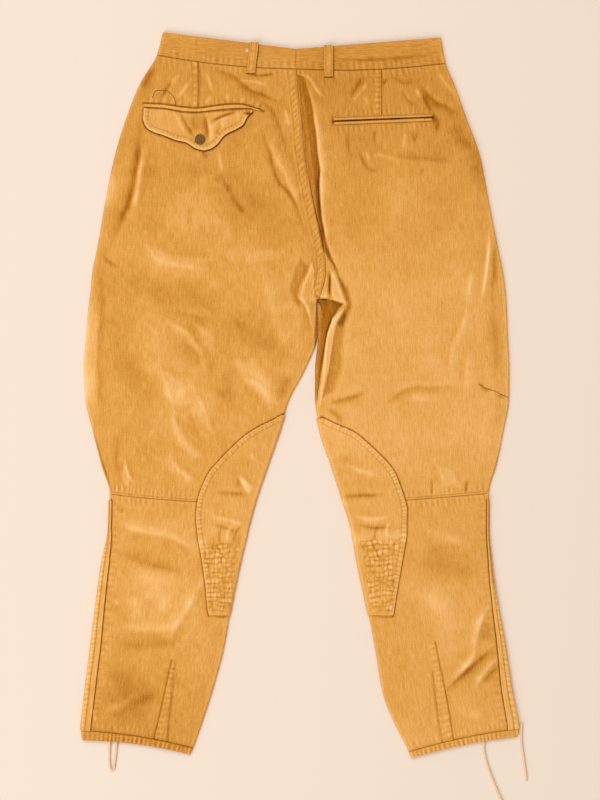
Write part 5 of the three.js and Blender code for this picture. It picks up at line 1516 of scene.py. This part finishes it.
# Stitches along flat lines, dropped on to the cloth below, as one joined mesh.
def sewRows(name, rows):
    shape, shapeFaces = stitchShape()
    verts, faces = [], []
    for line, cloths in rows:
        run = walked(line)
        for at in np.arange(stitchSet["pitch"], run[-1] - 1, stitchSet["pitch"]):
            x, y = (float(np.interp(at, run, line[:, k])) for k in (0, 1))
            dx, dy = (float(np.diff(np.interp([at - 0.8, at + 0.8], run, line[:, k]))[0]) for k in (0, 1))
            place, up = dropOn(cloths, x, y)
            if place is None:
                continue
            up = np.array(up)
            ahead = np.array([dx, dy, 0]) - up * (up[0] * dx + up[1] * dy)
            ahead /= np.linalg.norm(ahead)
            middle = np.array(place) / mm - up * stitchSet["sunk"]
            faces += [[i + len(verts) * len(shape) for i in face] for face in shapeFaces]
            verts.append(middle + shape @ np.stack([ahead, np.cross(up, ahead), up]))
    mesh = bpy.data.meshes.new(name)
    mesh.from_pydata((np.concatenate(verts) * mm).tolist(), [], faces)
    mesh.shade_smooth()
    stitches = newObject(name, mesh, sewingThread)
    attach(stitches, "root")


for side in ("left", "right"):
    panels = [name + side for name in ("back_", "calf_", "waistband_cloth_", "hem_cloth_back_")]
    rows = [(offsetLine(seam["line"], offset), panels)
            for seam in sewing[side].values() for offset in seam["rows"]]
    bandRow = 2.4 if side == "left" else -2.4
    rows.append((offsetLine(sewing[side]["waist"]["line"], bandRow), ["waistband_cloth_" + side]))
    patchRow = offsetLine(patchSewing[side]["border"]["line"], patchSewing[side]["border"]["rows"][0])
    rows.append((patchRow, ["patch_" + side]))
    (x0, y0), (x1, y1) = loops[side]
    for edge in (-loopSet["dents"], loopSet["dents"]):
        rows.append((np.array([(x0 + edge, y0 - 2), (x1 + edge, y1 + 2)]), ["loop_" + side]))
    tack = y1 + loopSet["tack"] * (y0 - y1)
    rows.append((np.array([(x1 - 5, tack), (x1 + 5, tack)]), ["loop_" + side]))
    if side == "left":
        rows.append((offsetLine(flapRim, 6.8), ["flap_left"]))
    sewRows("stitches_" + side, rows)

darning = {
    "darning_left": ([(-205, 415), (-204, 419), (-200.5, 424.5), (-193, 425.5), (-186, 425), (-179.5, 419.5),
                      (-175, 414.5), (-173, 404)], ["back_left"]),
    "darning_right": ([(249.5, 15.5), (262, 9), (274.5, 4.5), (291.5, -4)], ["back_right"]),
}


darnSet = {"step": 0.8, "wander": 0.25, "radius": 0.42, "sides": 6}


# A thin thread worked along a line on the cloth, dipping in and out of it.
def makeDarning(name, points, cloths):
    line = smoothLine(points, darnSet["step"])
    rng = np.random.default_rng(len(points))
    line = line + darnSet["wander"] * rng.standard_normal(line.shape)
    rings, sides = [], darnSet["sides"]
    turn = np.arange(sides) * math.tau / sides
    for k, (x, y) in enumerate(line):
        place = dropOn(cloths, float(x), float(y))[0]
        if place is None:
            continue
        radius = darnSet["radius"] * (0.75 + 0.5 * rng.random())
        ahead = line[min(k + 1, len(line) - 1)] - line[max(k - 1, 0)]
        across = np.array([-ahead[1], ahead[0], 0]) / np.linalg.norm(ahead)
        ring = radius * (np.cos(turn)[:, None] * across + np.sin(turn)[:, None] * [0, 0, 1])
        rings.append(np.array(place) / mm + ring)
    mesh = bpy.data.meshes.new(name)
    mesh.from_pydata((np.concatenate(rings) * mm).tolist(), [], tubeFaces(len(rings), sides))
    mesh.shade_smooth()
    thread = newObject(name, mesh, brownThread)
    bpy.ops.object.select_all(action="DESELECT")
    thread.select_set(True)
    bpy.context.view_layer.objects.active = thread
    bpy.ops.object.mode_set(mode="EDIT")
    bpy.ops.mesh.select_all(action="SELECT")
    bpy.ops.mesh.normals_make_consistent(inside=False)
    bpy.ops.object.mode_set(mode="OBJECT")
    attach(thread, "root")


for name, (points, cloths) in darning.items():
    makeDarning(name, points, cloths)
print("stitches and threads made")

# Studio.

studio = {
    "floor": "f1e6dc",
    "world": 0.5,
    "key": {"place": (-0.7, 1.5, 3.0), "size": 1.6, "watts": 43, "colour": (1, 0.985, 0.965)},
    "fill": {"place": (-1.6, -2.2, 2.6), "size": 2.5, "watts": 56, "colour": (1, 0.985, 0.97)},
}


def makeStudio():
    bpy.ops.object.select_all(action="DESELECT")
    bpy.ops.mesh.primitive_plane_add(size=8, location=(0, 0, -0.0003))
    floor = bpy.context.active_object
    floor.name = "paperFloor"
    material, _, bsdf = newMaterial("paintedBoard", Roughness=0.9, Specular_IOR_Level=0.1)
    bsdf.inputs["Base Color"].default_value = linear(studio["floor"])
    floor.data.materials.append(material)
    for name in ("key", "fill"):
        facts = studio[name]
        data = bpy.data.lights.new(name + "Light", "AREA")
        data.size = facts["size"]
        data.energy = facts["watts"]
        data.color = facts["colour"]
        light = bpy.data.objects.new(name + "Light", data)
        light.location = facts["place"]
        light.rotation_euler = (-Vector(facts["place"])).to_track_quat("-Z", "Y").to_euler()
        bpy.context.collection.objects.link(light)
    world = bpy.data.worlds.new("studioWorld")
    bpy.context.scene.world = world
    world.use_nodes = True
    world.node_tree.nodes["Background"].inputs["Color"].default_value = linear("ffeeda")
    world.node_tree.nodes["Background"].inputs["Strength"].default_value = studio["world"]
    bpy.context.scene.view_settings.view_transform = "Standard"


makeStudio()

print("studio made")
